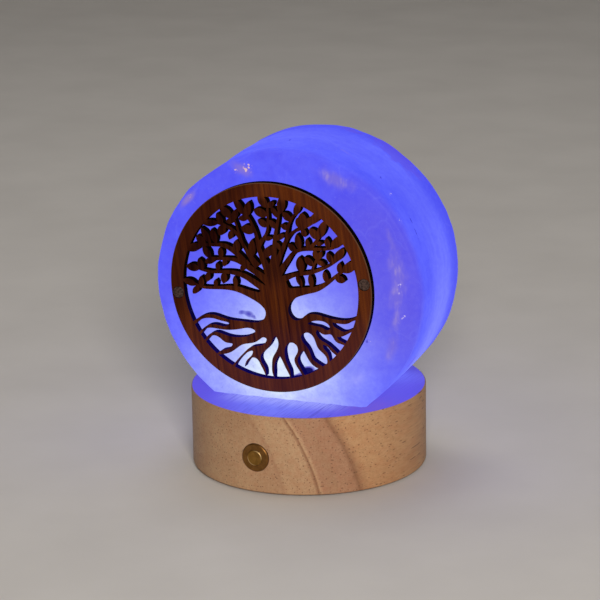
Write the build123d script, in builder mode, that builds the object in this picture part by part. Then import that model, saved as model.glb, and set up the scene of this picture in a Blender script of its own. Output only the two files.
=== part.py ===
"""Salt crystal lamp: a lit rock-salt block on a turned wooden base, with a pierced tree panel.

Millimetres. The floor is Z = 0 and the base's axis is the Z axis. The base's button faces -Y
and its charging socket faces +Y. The block stands a little turned on the base.
"""

from build123d import *
import math
import os

os.makedirs("parts", exist_ok=True)

# --- Wooden base -------------------------------------------------------------------------
base_diameter = 100
base_height = 34.3          # floor to the top face that the block stands on
base_wall = 10
base_roof = 9
base_edge = 0.7             # softened arris, top and bottom
foot_stand = 0.8            # the foot pad lifts the wood by this much
cut_past = 2                # how far a cut runs on past the wall it goes through

# --- Salt block: a thick disc stood on its cut underside -----------------------------------
salt_radius = 58.5
salt_rise = 47.4            # the disc's centre above the base
salt_front = 26.7           # the face in front of the base's axis
salt_depth = 61.3           # front face to back
salt_yaw = 5.2              # the block's turn on the base, degrees
salt_aside = 1              # the disc's centre from the block's middle
salt_skew = -2.2            # how far the back lies to the side of the front
salt_front_round = 2.2
salt_back_round = 6.5
pocket_radius = 16.5        # blind hole in the underside, over the light
pocket_depth = 30
pocket_round = 3

# --- Tree panel: flat pierced wooden disc held by two pairs of magnets -----------------------
panel_radius = 44.6
ring_inner = 38.8
panel_thickness = 3.4
panel_edge = 0.35
panel_turn = 7.1            # the panel's turn in its own plane, degrees
panel_aside = -4.7          # the panel's centre from the block's middle
panel_rise = 48.5           # the panel's centre above the base
magnet_radius = 2.5
magnet_length = 3
magnet_circle = 41.6
magnet_gap = 0.05
magnet_edge = 0.25

# --- Bottom cover and foot pad --------------------------------------------------------------
cover_thickness = 2.5
cover_gap = 0.2
cover_rebate = 6            # ledge under the wall that the cover seats on
cover_screw_count = 3
pad_radius = 32
pad_thickness = 1.5
pad_gap = 0.2
screw_gap = 0.05
sink_gap = 0.1              # round a countersunk head

# --- Light: window, board and lamps in the roof ----------------------------------------------
window_flange_radius = 19
window_flange = 2
window_radius = 13
window_rise = 13            # height of the dome inside the block's pocket
window_wall = 1.6
window_gap = 0.2
led_board_radius = 15.5
led_board_thickness = 1.6
led_room = 4                # well under the window's flange
led_count = 6
led_circle = 8
led_size = 5
led_height = 1.6
led_lens_sink = 0.3
led_screw_count = 2
led_screw_angle = 30
lead_hole_radius = 6

# --- Battery --------------------------------------------------------------------------------
cell_top_room = 2.1         # over the cell, for a lead
cell_end_room = 7.5         # between the cell's ends and the cavity's wall, for the leads
cell_y = -8
cell_lift = 1.4             # cell above the cover
cell_pad = 0.8
saddle_width = 5
saddle_spread = 42          # between the two saddles' middles
saddle_height = 7
cell_cap = 1                # length of the raised contact at the cell's end

# --- Control board and charging socket -----------------------------------------------------------
board_width = 30
board_thickness = 1.6
board_lift = 5.2            # board above the cover
board_corner_gap = 0.5      # between the board's back corners and the cavity's wall
board_front_room = 11.25    # between the cell and the headers, for the leads
board_screw_short = 1       # the screws end this far above the cover
post_radius = 2.4
post_inset = 3
socket_width = 8.94
socket_height = 3.26
socket_length = 7.35
socket_ahead = 2.8          # the socket's mouth stands out past the board
socket_wall = 0.35
passage_width = 13          # oblong hole in the wood for the plug's body
passage_height = 8
tongue_height = 0.7

# --- Button and switch --------------------------------------------------------------------------
button_share = 0.4636       # the button's height as a share of the base's
bezel_radius = 6
bezel_gap = 0.15            # round the flange, in its shallow spot face
bezel_sink = 0.2            # the spot face's depth at its shallowest
bezel_flange = 1.2
bezel_barrel_radius = 4.9
bezel_barrel = 8.6
bezel_lip = 2.4             # thickness of the front ring that holds the cap in
cap_radius = 3.3
cap_proud = 0.35
cap_dish = 0.3
cap_gap = 0.1
cap_collar = 0.7            # how far the cap's collar stands out behind the ring
collar_length = 1
plunger_behind = 2.2        # the plunger's face behind the bezel's barrel
button_travel = 0.6
plunger_radius = 1.75
plunger_length = 1.3
switch_size = 6
switch_depth = 3.5
switch_plate = 0.6          # the switch's closed back
switch_slack = 0.2          # left under the plunger when it is pressed home
switch_board_width = 20
switch_board_room = 1.4     # between the switch board's upper edge and the roof
switch_board_thickness = 1.6
slot_gap = 0.1

# --- Screws and leads --------------------------------------------------------------------------
screw_radius = 1.25
screw_head_radius = 2.4
screw_head = 1.4
screw_length = 9
small_screw_radius = 1
small_head_radius = 1.9
small_head = 1.3
lead_radius = 0.6
lead_spacing = 0.3
header_depth = 5
header_height = 4.4
header_spacing = 7.2

# --- Heights and places that follow from the sizes above ------------------------------------------
base_radius = base_diameter / 2
cavity_radius = base_radius - base_wall
cavity_top = base_height - base_roof
cover_radius = cavity_radius + cover_rebate
cover_top = foot_stand + cover_thickness
cover_screw_circle = cavity_radius + cover_rebate / 2
well_floor = base_height - window_flange - led_room
led_board_top = well_floor + led_board_thickness
led_screw_circle = (led_circle + led_size / 2 + led_board_radius) / 2
button_height = base_height * button_share
cell_radius = (cavity_top - cover_top - cell_lift - cell_top_room) / 2
cell_length = 2 * (cavity_radius - cell_end_room)
cell_z = cover_top + cell_lift + cell_radius
board_bottom = cover_top + board_lift
board_top = board_bottom + board_thickness
board_back = math.sqrt((cavity_radius - board_corner_gap) ** 2 - (board_width / 2) ** 2)
header_face = cell_y + cell_radius + board_front_room
board_depth = board_back - header_face
board_y = (board_back + header_face) / 2
socket_face = board_back + socket_ahead
socket_z = board_top + socket_height / 2
salt_z = base_height + salt_rise
spot_face = math.sqrt(base_radius**2 - bezel_radius**2) - bezel_sink
plunger_y = -(spot_face - bezel_barrel - plunger_behind)
switch_face = plunger_y + plunger_length
switch_back = switch_face + switch_depth
switch_board_height = 2 * (cavity_top - switch_board_room - button_height)


def front(y, z=0):
    """An upright plane whose normal points to the front of the lamp."""
    return Plane(origin=(0, y, z), x_dir=(1, 0, 0), z_dir=(0, -1, 0))


# The block's own directions: out of its face, and to the right along it.
face_out = Vector(0, -1, 0).rotate(Axis.Z, salt_yaw)
face_right = Vector(1, 0, 0).rotate(Axis.Z, salt_yaw)


def block_plane(forward, aside=0, height=0):
    """A plane along the block's face, forward of the base's axis."""
    place = face_out * forward + face_right * aside + Vector(0, 0, height)
    return Plane(origin=place, x_dir=face_right, z_dir=face_out)


# === base_housing: turned pale wood, hollowed from below, with a stepped well in its roof ==========
with BuildPart() as base_housing:
    with BuildSketch(Plane.XY.offset(foot_stand)):
        Circle(base_radius)
    extrude(amount=base_height - foot_stand)
    fillet(base_housing.edges().filter_by(GeomType.CIRCLE), base_edge)
    with BuildSketch(Plane.XY.offset(foot_stand)):
        Circle(cavity_radius)
    extrude(amount=cavity_top - foot_stand, mode=Mode.SUBTRACT)
    with BuildSketch(Plane.XY.offset(foot_stand)):
        Circle(cover_radius + cover_gap)
    extrude(amount=cover_thickness, mode=Mode.SUBTRACT)
    # the window's seat, the lamp board's seat and the hole for the leads
    with BuildSketch(Plane.XY.offset(base_height)):
        Circle(window_flange_radius + window_gap)
    extrude(amount=-window_flange, mode=Mode.SUBTRACT)
    with BuildSketch(Plane.XY.offset(base_height - window_flange)):
        Circle(led_board_radius + window_gap)
    extrude(amount=-led_room, mode=Mode.SUBTRACT)
    with BuildSketch(Plane.XY.offset(well_floor)):
        Circle(lead_hole_radius)
    extrude(amount=cavity_top - well_floor, mode=Mode.SUBTRACT)
    # pilot holes for the lamp board's screws and the cover's screws
    with BuildSketch(Plane.XY.offset(well_floor)):
        with PolarLocations(led_screw_circle, led_screw_count, start_angle=led_screw_angle):
            Circle(small_screw_radius + screw_gap)
    extrude(amount=cavity_top - well_floor, mode=Mode.SUBTRACT)
    with BuildSketch(Plane.XY.offset(cover_top)):
        with PolarLocations(cover_screw_circle, cover_screw_count, start_angle=90):
            Circle(screw_radius + screw_gap)
    extrude(amount=screw_length, mode=Mode.SUBTRACT)
    # flat and hole for the button's bezel
    with BuildSketch(front(-spot_face, button_height)):
        Circle(bezel_radius + bezel_gap)
    extrude(amount=base_wall, mode=Mode.SUBTRACT)
    with BuildSketch(front(-spot_face, button_height)):
        Circle(bezel_barrel_radius + screw_gap)
    extrude(amount=-base_wall - cut_past, mode=Mode.SUBTRACT)
    # oblong passage for the charging plug's body
    with BuildSketch(front(cavity_radius - cut_past, socket_z)):
        SlotOverall(passage_width, passage_height)
    extrude(amount=-base_wall - 2 * cut_past, mode=Mode.SUBTRACT)

base_housing.part.label = "base_housing"
export_step(base_housing.part, "parts/base_housing.step")

# === bottom_cover: moulded disc with saddles for the cell, posts and a slotted switch holder ==========
post_spots = [
    (side * (board_width / 2 - post_inset), board_y + end * (board_depth / 2 - post_inset))
    for side in (-1, 1)
    for end in (-1, 1)
]
holder_reach = 3            # how far each holder wraps round the switch board's edge
holder_wall = 1.6
holder_drop = 3             # the holders end this far below the board's upper edge
holder_top = button_height + switch_board_height / 2 - holder_drop
board_seat = button_height - switch_board_height / 2
post_floor = 0.6            # left under a post's pilot hole
overlap = 0.02              # a saddle's root runs this far into the cover

with BuildPart() as bottom_cover:
    with BuildSketch(Plane.XY.offset(foot_stand)):
        Circle(cover_radius)
    extrude(amount=cover_thickness)
    # saddles, each hollowed to the cell's round and its foam strip
    for side in (-1, 1):
        saddle_x = side * saddle_spread / 2
        saddle_plane = Plane(origin=(saddle_x - saddle_width / 2, cell_y, 0), x_dir=(0, 1, 0), z_dir=(1, 0, 0))
        with BuildSketch(saddle_plane):
            with Locations((0, cover_top + (saddle_height - overlap) / 2)):
                Rectangle(2 * cell_radius, saddle_height + overlap)
            with Locations((0, cell_z)):
                Circle(cell_radius + cell_pad, mode=Mode.SUBTRACT)
        extrude(amount=saddle_width)
    # posts under the control board
    with BuildSketch(Plane.XY.offset(cover_top)):
        with Locations(*post_spots):
            Circle(post_radius)
    extrude(amount=board_lift)
    # two grooved uprights for the switch board, with a foot under its lower edge
    with BuildSketch(Plane.XY.offset(cover_top)):
        for side in (-1, 1):
            with Locations((side * (switch_board_width / 2 - holder_reach / 2 + holder_wall),
                            switch_back + switch_board_thickness / 2)):
                Rectangle(holder_reach + 2 * holder_wall, switch_board_thickness + 2 * holder_wall)
    extrude(amount=holder_top - cover_top)
    with BuildSketch(Plane.XY.offset(board_seat)):
        with Locations((0, switch_back + switch_board_thickness / 2)):
            Rectangle(switch_board_width + 2 * slot_gap, switch_board_thickness + 2 * slot_gap)
    extrude(amount=switch_board_height, mode=Mode.SUBTRACT)
    # shallow seat for the foot pad
    with BuildSketch(Plane.XY.offset(foot_stand)):
        Circle(pad_radius + pad_gap)
    extrude(amount=pad_thickness - foot_stand, mode=Mode.SUBTRACT)
    # countersunk holes round the rim, and pilot holes in the posts
    with Locations(Plane.XY.offset(foot_stand) * Location((0, 0, 0), (180, 0, 0))):
        with PolarLocations(cover_screw_circle, cover_screw_count, start_angle=-90):
            CounterSinkHole(screw_radius + 2 * sink_gap, screw_head_radius + sink_gap)
    with BuildSketch(Plane.XY.offset(board_bottom)):
        with Locations(*post_spots):
            Circle(small_screw_radius + screw_gap)
    extrude(amount=-board_lift + post_floor, mode=Mode.SUBTRACT)

bottom_cover.part.label = "bottom_cover"
export_step(bottom_cover.part, "parts/bottom_cover.step")

# === foot_pad: black foam disc stuck in the cover's seat; the lamp stands on it ======================
with BuildPart() as foot_pad:
    with BuildSketch():
        Circle(pad_radius)
    extrude(amount=pad_thickness)
    chamfer(foot_pad.edges().group_by(Axis.Z)[0], pad_thickness / 5)

foot_pad.part.label = "foot_pad"
export_step(foot_pad.part, "parts/foot_pad.step")


def screw_side(seat):
    """The plane through a screw's axis: +Y of its sketch runs down the shank."""
    return Plane(origin=seat.origin, x_dir=seat.x_dir, z_dir=seat.y_dir)


def countersunk_screw(seat, length):
    """A countersunk screw with its head's face on the seat plane."""
    with BuildPart() as screw:
        with BuildSketch(screw_side(seat)):
            with BuildLine():
                Polyline((0, 0), (screw_head_radius, 0), (screw_radius, screw_head),
                         (screw_radius, length - 2), (0, length), (0, 0))
            make_face()
        revolve(axis=Axis(seat.origin, seat.z_dir))
        with BuildSketch(seat):
            Rectangle(screw_head_radius * 1.2, screw_head_radius * 0.3)
            Rectangle(screw_head_radius * 0.3, screw_head_radius * 1.2)
        extrude(amount=-screw_head_radius * 0.3, mode=Mode.SUBTRACT)
    return screw.part


def pan_screw(seat, length):
    """A small pan-head screw with the underside of its head on the seat plane."""
    head_round = small_head / 2
    with BuildPart() as screw:
        with BuildSketch(screw_side(seat)):
            with BuildLine():
                Polyline((0, -small_head), (0, length), (small_screw_radius, length - 1),
                         (small_screw_radius, 0), (small_head_radius, 0), (small_head_radius, -head_round))
                ThreePointArc((small_head_radius, -head_round),
                              (small_head_radius - 0.3 * head_round, -small_head + 0.3 * head_round),
                              (small_head_radius - head_round, -small_head))
                Line((small_head_radius - head_round, -small_head), (0, -small_head))
            make_face()
        revolve(axis=Axis(seat.origin, seat.z_dir))
        with BuildSketch(seat.offset(small_head)):
            Rectangle(small_head_radius * 1.2, small_head_radius * 0.3)
            Rectangle(small_head_radius * 0.3, small_head_radius * 1.2)
        extrude(amount=-small_head_radius * 0.3, mode=Mode.SUBTRACT)
    return screw.part


# === cover_screws: three countersunk screws up through the cover's rim ===============================
cover_screw_seats = [
    Plane(origin=spot.position + Vector(0, 0, foot_stand), x_dir=(1, 0, 0), z_dir=(0, 0, -1))
    for spot in PolarLocations(cover_screw_circle, cover_screw_count, start_angle=90)
]
cover_screw_parts = [countersunk_screw(seat, screw_length) for seat in cover_screw_seats]
with BuildPart() as cover_screws:
    add(cover_screw_parts)

cover_screws.part.label = "cover_screws"
export_step(cover_screws.part, "parts/cover_screws.step")

# === light_window: frosted cap with a flange let in flush and a dome up into the block ===============
dome_round = window_rise * 0.6
with BuildPart() as light_window:
    with BuildSketch(Plane.XZ):
        with BuildLine():
            Polyline((0, base_height + window_rise), (window_radius - dome_round, base_height + window_rise))
            RadiusArc((window_radius - dome_round, base_height + window_rise),
                      (window_radius, base_height + window_rise - dome_round), dome_round)
            Polyline((window_radius, base_height + window_rise - dome_round), (window_radius, base_height),
                     (window_flange_radius, base_height), (window_flange_radius, base_height - window_flange),
                     (0, base_height - window_flange), (0, base_height + window_rise))
        make_face()
    revolve(axis=Axis.Z)
    inner_round = dome_round - window_wall
    with BuildSketch(Plane.XZ):
        with BuildLine():
            inner_top = base_height + window_rise - window_wall
            inner_side = window_radius - window_wall
            Polyline((0, inner_top), (inner_side - inner_round, inner_top))
            RadiusArc((inner_side - inner_round, inner_top), (inner_side, inner_top - inner_round), inner_round)
            Polyline((inner_side, inner_top - inner_round), (inner_side, base_height - window_flange),
                     (0, base_height - window_flange), (0, inner_top))
        make_face()
    revolve(axis=Axis.Z, mode=Mode.SUBTRACT)

light_window.part.label = "light_window"
export_step(light_window.part, "parts/light_window.step")

# === led_board: round aluminium-backed board screwed to the floor of the well ========================
with BuildPart() as led_board:
    with BuildSketch(Plane.XY.offset(well_floor)):
        Circle(led_board_radius)
        with PolarLocations(led_screw_circle, led_screw_count, start_angle=led_screw_angle):
            Circle(small_screw_radius + screw_gap, mode=Mode.SUBTRACT)
    extrude(amount=led_board_thickness)

led_board.part.label = "led_board"
export_step(led_board.part, "parts/led_board.step")

# === leds: square colour-changing lamps in a ring, each with a round lens face ========================
with BuildPart() as leds:
    with BuildSketch(Plane.XY.offset(led_board_top)):
        with PolarLocations(led_circle, led_count):
            Rectangle(led_size, led_size)
    extrude(amount=led_height)
    with BuildSketch(Plane.XY.offset(led_board_top + led_height)):
        with PolarLocations(led_circle, led_count):
            Circle(led_size * 0.38)
    extrude(amount=-led_lens_sink, mode=Mode.SUBTRACT)

leds.part.label = "leds"
export_step(leds.part, "parts/leds.step")

# === led_board_screws: two pan-head screws into the roof ============================================
led_screw_short = 0.3       # the screws end this far inside the roof
led_screw_length = led_board_thickness + well_floor - cavity_top - led_screw_short
led_screw_parts = [
    pan_screw(Plane(origin=spot.position + Vector(0, 0, led_board_top)), led_screw_length)
    for spot in PolarLocations(led_screw_circle, led_screw_count, start_angle=led_screw_angle)
]
with BuildPart() as led_board_screws:
    add(led_screw_parts)

led_board_screws.part.label = "led_board_screws"
export_step(led_board_screws.part, "parts/led_board_screws.step")

# === control_board: charger and colour driver on four posts ==========================================
with BuildPart() as control_board:
    with BuildSketch(Plane.XY.offset(board_bottom)):
        with Locations((0, board_y)):
            RectangleRounded(board_width, board_depth, 1.5)
        with Locations(*post_spots):
            Circle(small_screw_radius + screw_gap, mode=Mode.SUBTRACT)
    extrude(amount=board_thickness)

control_board.part.label = "control_board"
export_step(control_board.part, "parts/control_board.step")

# === board_screws: four pan-head screws into the cover's posts =======================================
board_screw_length = board_thickness + board_lift - board_screw_short
board_screw_parts = [pan_screw(Plane(origin=(x, y, board_top)), board_screw_length) for x, y in post_spots]
with BuildPart() as board_screws:
    add(board_screw_parts)

board_screws.part.label = "board_screws"
export_step(board_screws.part, "parts/board_screws.step")

# === board_components: driver chip, charger chip, coil and two capacitors ============================
chips_y = board_back - 8.5                  # clear of the socket's inner end
passives_y = header_face + header_depth     # the headers' back
component_spots = [
    (-4.2, chips_y, 5, 5, 1.5),                 # colour driver
    (4, chips_y, 4, 5, 1.5),                    # charger
    (8.5, passives_y + 4.5, 4.5, 4.5, 3),       # coil
    (-8.5, passives_y + 5.5, 3.2, 1.6, 1.2),    # capacitors
    (-8.5, passives_y + 2.5, 3.2, 1.6, 1.2),
]
with BuildPart() as board_components:
    for x, y, width, depth, height in component_spots:
        with BuildSketch(Plane.XY.offset(board_top)):
            with Locations((x, y)):
                Rectangle(width, depth)
        extrude(amount=height)

board_components.part.label = "board_components"
export_step(board_components.part, "parts/board_components.step")

# === lead_headers: plug-in headers for the cell, the lamps and the switch ============================
cell_header = (header_spacing, 4)
lamp_header = (0, 8)
switch_header = (-header_spacing, 4)
with BuildPart() as lead_headers:
    for x, width in (cell_header, lamp_header, switch_header):
        with BuildSketch(Plane.XY.offset(board_top)):
            with Locations((x, header_face + header_depth / 2)):
                Rectangle(width, header_depth)
        extrude(amount=header_height)

lead_headers.part.label = "lead_headers"
export_step(lead_headers.part, "parts/lead_headers.step")

# === usb_socket: oblong pressed-steel socket with its tongue, mouth towards the passage ===============
with BuildPart() as usb_socket:
    with BuildSketch(front(socket_face, socket_z)):
        SlotOverall(socket_width, socket_height)
    extrude(amount=socket_length)
    with BuildSketch(front(socket_face, socket_z)):
        SlotOverall(socket_width - 2 * socket_wall, socket_height - 2 * socket_wall)
    extrude(amount=socket_length - 3 * socket_wall, mode=Mode.SUBTRACT)
    with BuildSketch(front(socket_face - 3 * socket_wall, socket_z)):
        Rectangle(socket_width - 6 * socket_wall, tongue_height)
    extrude(amount=socket_length - 4 * socket_wall)

usb_socket.part.label = "usb_socket"
export_step(usb_socket.part, "parts/usb_socket.step")

# === switch_board: small upright board held in the cover's grooves ===================================
with BuildPart() as switch_board:
    with BuildSketch(front(switch_back, button_height)):
        Rectangle(switch_board_width, switch_board_height)
    extrude(amount=-switch_board_thickness)

switch_board.part.label = "switch_board"
export_step(switch_board.part, "parts/switch_board.step")

# === tact_switch: square push switch behind the button ===============================================
with BuildPart() as tact_switch:
    with BuildSketch(front(switch_face, button_height)):
        RectangleRounded(switch_size, switch_size, 0.5)
        Circle(plunger_radius + cap_gap, mode=Mode.SUBTRACT)
    extrude(amount=-switch_depth + switch_plate)
    with BuildSketch(front(switch_back, button_height)):
        RectangleRounded(switch_size, switch_size, 0.5)
    extrude(amount=switch_plate)

tact_switch.part.label = "tact_switch"
export_step(tact_switch.part, "parts/tact_switch.step")

# === switch_plunger: the switch's moving pin ========================================================
with BuildPart() as switch_plunger:
    with BuildSketch(front(plunger_y, button_height)):
        Circle(plunger_radius)
    extrude(amount=-(plunger_length + switch_depth - switch_plate - button_travel - switch_slack))

switch_plunger.part.label = "switch_plunger"
export_step(switch_plunger.part, "parts/switch_plunger.step")

# === button_bezel: bronze-coloured ring with a barrel pushed into the wood ===========================
collar_room = cap_radius + cap_collar + cap_gap
with BuildPart() as button_bezel:
    with BuildSketch(front(-spot_face, button_height)):
        Circle(bezel_radius)
    extrude(amount=bezel_flange)
    chamfer(button_bezel.edges().group_by(Axis.Y)[0], 0.4)
    with BuildSketch(front(-spot_face, button_height)):
        Circle(bezel_barrel_radius)
    extrude(amount=-bezel_barrel)
    with BuildSketch(front(-spot_face - bezel_flange, button_height)):
        Circle(cap_radius + cap_gap)
    extrude(amount=-bezel_barrel - bezel_flange, mode=Mode.SUBTRACT)
    with BuildSketch(front(-spot_face - bezel_flange + bezel_lip, button_height)):
        Circle(collar_room)
    extrude(amount=-bezel_barrel, mode=Mode.SUBTRACT)

button_bezel.part.label = "button_bezel"
export_step(button_bezel.part, "parts/button_bezel.step")

# === button_cap: dished cap, its collar behind the ring and its stem against the switch ===============
cap_face = -spot_face - bezel_flange - cap_proud
collar_y = -spot_face - bezel_flange + bezel_lip
dish_radius = (cap_radius**2 + cap_dish**2) / (2 * cap_dish)
with BuildPart() as button_cap:
    with BuildSketch(front(cap_face, button_height)):
        Circle(cap_radius)
    extrude(amount=-(bezel_lip + cap_proud))
    chamfer(button_cap.edges().group_by(Axis.Y)[0], 0.2)
    with BuildSketch(front(collar_y, button_height)):
        Circle(cap_radius + cap_collar)
    extrude(amount=-collar_length)
    with BuildSketch(front(collar_y, button_height)):
        Circle(plunger_radius)
    extrude(amount=-(plunger_y - collar_y))
    with Locations((0, cap_face + cap_dish - dish_radius, button_height)):
        Sphere(dish_radius, mode=Mode.SUBTRACT)

button_cap.part.label = "button_cap"
export_step(button_cap.part, "parts/button_cap.step")

# === battery_cell: wrapped rechargeable cell lying across the cover ===================================
cell_plane = Plane(origin=(-cell_length / 2, cell_y, cell_z), x_dir=(0, 1, 0), z_dir=(1, 0, 0))
with BuildPart() as battery_cell:
    with BuildSketch(cell_plane):
        Circle(cell_radius)
    extrude(amount=cell_length - cell_cap)
    fillet(battery_cell.edges().filter_by(GeomType.CIRCLE), 0.8)
    with BuildSketch(cell_plane.offset(cell_length - cell_cap)):
        Circle(cell_radius * 0.35)
    extrude(amount=cell_cap)

battery_cell.part.label = "battery_cell"
export_step(battery_cell.part, "parts/battery_cell.step")

# === battery_pads: foam strips between the cell and its saddles =======================================
saddle_half_angle = math.degrees(math.acos((cell_z - cover_top - saddle_height) / (cell_radius + cell_pad)))
pad_half_angle = min(saddle_half_angle, 60)
with BuildPart() as battery_pads:
    for side in (-1, 1):
        saddle_x = side * saddle_spread / 2
        pad_plane = Plane(origin=(saddle_x - saddle_width / 2, cell_y, cell_z), x_dir=(0, 1, 0), z_dir=(1, 0, 0))
        with BuildSketch(pad_plane):
            Circle(cell_radius + cell_pad)
            Circle(cell_radius, mode=Mode.SUBTRACT)
            with BuildLine():
                reach = 2 * cell_radius
                half = math.radians(pad_half_angle)
                Polyline((0, 0), (reach * math.sin(half), -reach * math.cos(half)), (0, -2.5 * reach),
                         (-reach * math.sin(half), -reach * math.cos(half)), (0, 0))
            make_face(mode=Mode.INTERSECT)
        extrude(amount=saddle_width)

battery_pads.part.label = "battery_pads"
export_step(battery_pads.part, "parts/battery_pads.step")


def lead(points, radii):
    """A round lead along straight runs joined by arcs."""
    with BuildPart() as wire:
        with BuildLine():
            route = FilletPolyline(*points, radius=radii)
        with BuildSketch(Plane(origin=route @ 0, z_dir=route % 0)):
            Circle(lead_radius)
        sweep(path=route)
    expected = math.pi * lead_radius**2 * route.length
    print(f"lead {route.length:6.1f} mm, volume / (section x length) {wire.part.volume / expected:.3f}")
    return wire.part


header_mid = board_top + header_height / 2
lead_pitch = 2 * lead_radius + lead_spacing
cell_end = cell_length / 2

# === battery_leads: one lead from each end of the cell to the cell's header ============================
plus_x = cell_header[0] + lead_pitch / 2
minus_x = cell_header[0] - lead_pitch / 2
over_cell = cell_z + cell_radius + lead_radius + 0.25
plus_lead = lead(
    [
        (cell_end, cell_y, cell_z),
        (cell_end + 3.7, cell_y, cell_z),
        (cell_end + 3.8, cell_y + 11.5, cell_z - 0.6),
        (cell_end - 12, header_face - 3.2, header_mid),
        (plus_x + 3, header_face - 4.5, header_mid),
        (plus_x, header_face - 3, header_mid),
        (plus_x, header_face, header_mid),
    ],
    [2.6, 6, 8, 4, 1.8],
)
minus_lead = lead(
    [
        (-cell_end, cell_y, cell_z),
        (-cell_end - 4, cell_y, cell_z),
        (-cell_end - 3.8, cell_y - 0.4, over_cell),
        (-cell_end + 5, cell_y - 0.6, over_cell + 0.2),
        (-cell_end + 22, cell_y - 0.3, over_cell),
        (cell_end - 17, cell_y + 0.4, over_cell),
        (cell_end - 5, cell_y + 4.5, over_cell),
        (cell_end - 3, cell_y + 13, over_cell - 4.5),
        (cell_end - 11, header_face - 5.5, header_mid + 2.6),
        (minus_x + 4, header_face - 6.3, header_mid + 0.6),
        (minus_x, header_face - 4, header_mid),
        (minus_x, header_face, header_mid),
    ],
    [2.2, 2.6, 20, 40, 12, 5, 5, 8, 3, 2.6],
)
with BuildPart() as battery_leads:
    add([plus_lead, minus_lead])

battery_leads.part.label = "battery_leads"
export_step(battery_leads.part, "parts/battery_leads.step")

# === led_leads: four leads down through the roof to the middle header ===================================
lead_fall = well_floor - header_mid
lamp_lead_parts = [
    lead(
        [
            (lead_x, lead_hole_radius - 2.4, well_floor),
            (lead_x, lead_hole_radius - 2.3, well_floor - lead_fall / 2),
            (lead_x, lead_hole_radius - 1.6, header_mid + 2.2),
            (lead_x, header_face - 4, header_mid),
            (lead_x, header_face, header_mid),
        ],
        [lead_fall, 2.6, 3],
    )
    for lead_x in ((index - 1.5) * lead_pitch for index in range(4))
]
with BuildPart() as led_leads:
    add(lamp_lead_parts)

led_leads.part.label = "led_leads"
export_step(led_leads.part, "parts/led_leads.step")

# === switch_leads: two leads from the switch board, round the cell's end, to their header ================
switch_inside = switch_back + switch_board_thickness


def by_wall(inward, angle, height):
    """A point this far inside the cavity's wall, at an angle round the base's axis."""
    reach = cavity_radius - inward
    return (reach * math.cos(math.radians(angle)), reach * math.sin(math.radians(angle)), height)


switch_lead_parts = []
for index in range(2):
    start_x = (index - 0.5) * lead_pitch
    header_x = switch_header[0] + start_x
    # the second lead keeps inside the first all the way round
    inside = index * 1.3 * lead_pitch
    low = cover_top + 2.2
    switch_lead_parts.append(lead(
        [
            (start_x, switch_inside, board_seat + 2),
            (start_x, switch_inside + 3.2 + inside, board_seat + 2),
            (-14, switch_inside + 4.4 + inside, low + 0.6),
            by_wall(1.6 + inside, 218.7, low),
            by_wall(0.6 + inside, 191.7, low),
            by_wall(2.8 + inside, 169, low + 0.8),
            (header_x - 14.5, header_face - 1.9 - inside, low + 3.6),
            (header_x - 4, header_face - 3.2 - inside, header_mid - 0.3),
            (header_x, header_face - 3 - inside * 0.6, header_mid),
            (header_x, header_face, header_mid),
        ],
        [2.4, 12, 12, 12, 9, 12, 1.6, 1.2],
    ))
with BuildPart() as switch_leads:
    add(switch_lead_parts)

switch_leads.part.label = "switch_leads"
export_step(switch_leads.part, "parts/switch_leads.step")

# === salt_block: a thick disc of rock salt, sawn flat underneath and drilled for the light ================
magnet_spots = [
    (magnet_circle * math.cos(math.radians(angle)), magnet_circle * math.sin(math.radians(angle)))
    for angle in (0, 180)
]
salt_face = block_plane(salt_front, 0, salt_z)
turn = math.radians(panel_turn)
panel_back = Plane(
    origin=block_plane(salt_front, panel_aside, base_height + panel_rise).origin,
    x_dir=face_right * math.cos(turn) + Vector(0, 0, math.sin(turn)),
    z_dir=face_out,
)

# flakes split off the rim: angle round the disc, how far behind the face, depth, lean to the back
salt_flakes = [
    (50, 38, 0.5, 5),
    (71, 50, 0.4, 8),
    (126, 26, 0.45, -3),
    (148, 16, 0.4, 4),
    (98, 52, 0.5, 9),
]

flake_cut = 8                       # thickness of the slab that each flake's cut takes away
pocket_top = base_height + pocket_depth
with BuildPart() as salt_block:
    with BuildSketch(salt_face):
        with Locations((salt_aside, 0)):
            Circle(salt_radius)
    slant = face_out * -salt_depth + face_right * salt_skew
    extrude(amount=slant.length, dir=slant.normalized())
    rims = salt_block.edges().filter_by(GeomType.CIRCLE).sort_by(Axis(salt_face.origin, face_out))
    fillet(rims[-1], salt_front_round)
    rims = salt_block.edges().filter_by(GeomType.CIRCLE).sort_by(Axis(salt_face.origin, face_out))
    fillet(rims[0], salt_back_round)
    for angle, behind, depth, lean in salt_flakes:
        around = math.radians(angle)
        outward = face_right * math.cos(around) + Vector(0, 0, math.sin(around))
        tilt = math.radians(lean)
        normal = outward * math.cos(tilt) - face_out * math.sin(tilt)
        place = salt_face.origin - face_out * behind + outward * (salt_radius - depth)
        with Locations(Plane(origin=place, x_dir=outward.cross(face_out), z_dir=normal)):
            Box(salt_radius, 2 * salt_depth, flake_cut, align=(Align.CENTER, Align.CENTER, Align.MIN),
                mode=Mode.SUBTRACT)
    split(bisect_by=Plane.XY.offset(base_height), keep=Keep.TOP)
    with BuildSketch(Plane.XZ):
        with BuildLine():
            Polyline((0, pocket_top), (pocket_radius - pocket_round, pocket_top))
            RadiusArc((pocket_radius - pocket_round, pocket_top),
                      (pocket_radius, pocket_top - pocket_round), pocket_round)
            Polyline((pocket_radius, pocket_top - pocket_round), (pocket_radius, base_height),
                     (0, base_height), (0, pocket_top))
        make_face()
    revolve(axis=Axis.Z, mode=Mode.SUBTRACT)
    with BuildSketch(panel_back):
        with Locations(*magnet_spots):
            Circle(magnet_radius + magnet_gap)
    extrude(amount=-magnet_length - magnet_gap, mode=Mode.SUBTRACT)

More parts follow.
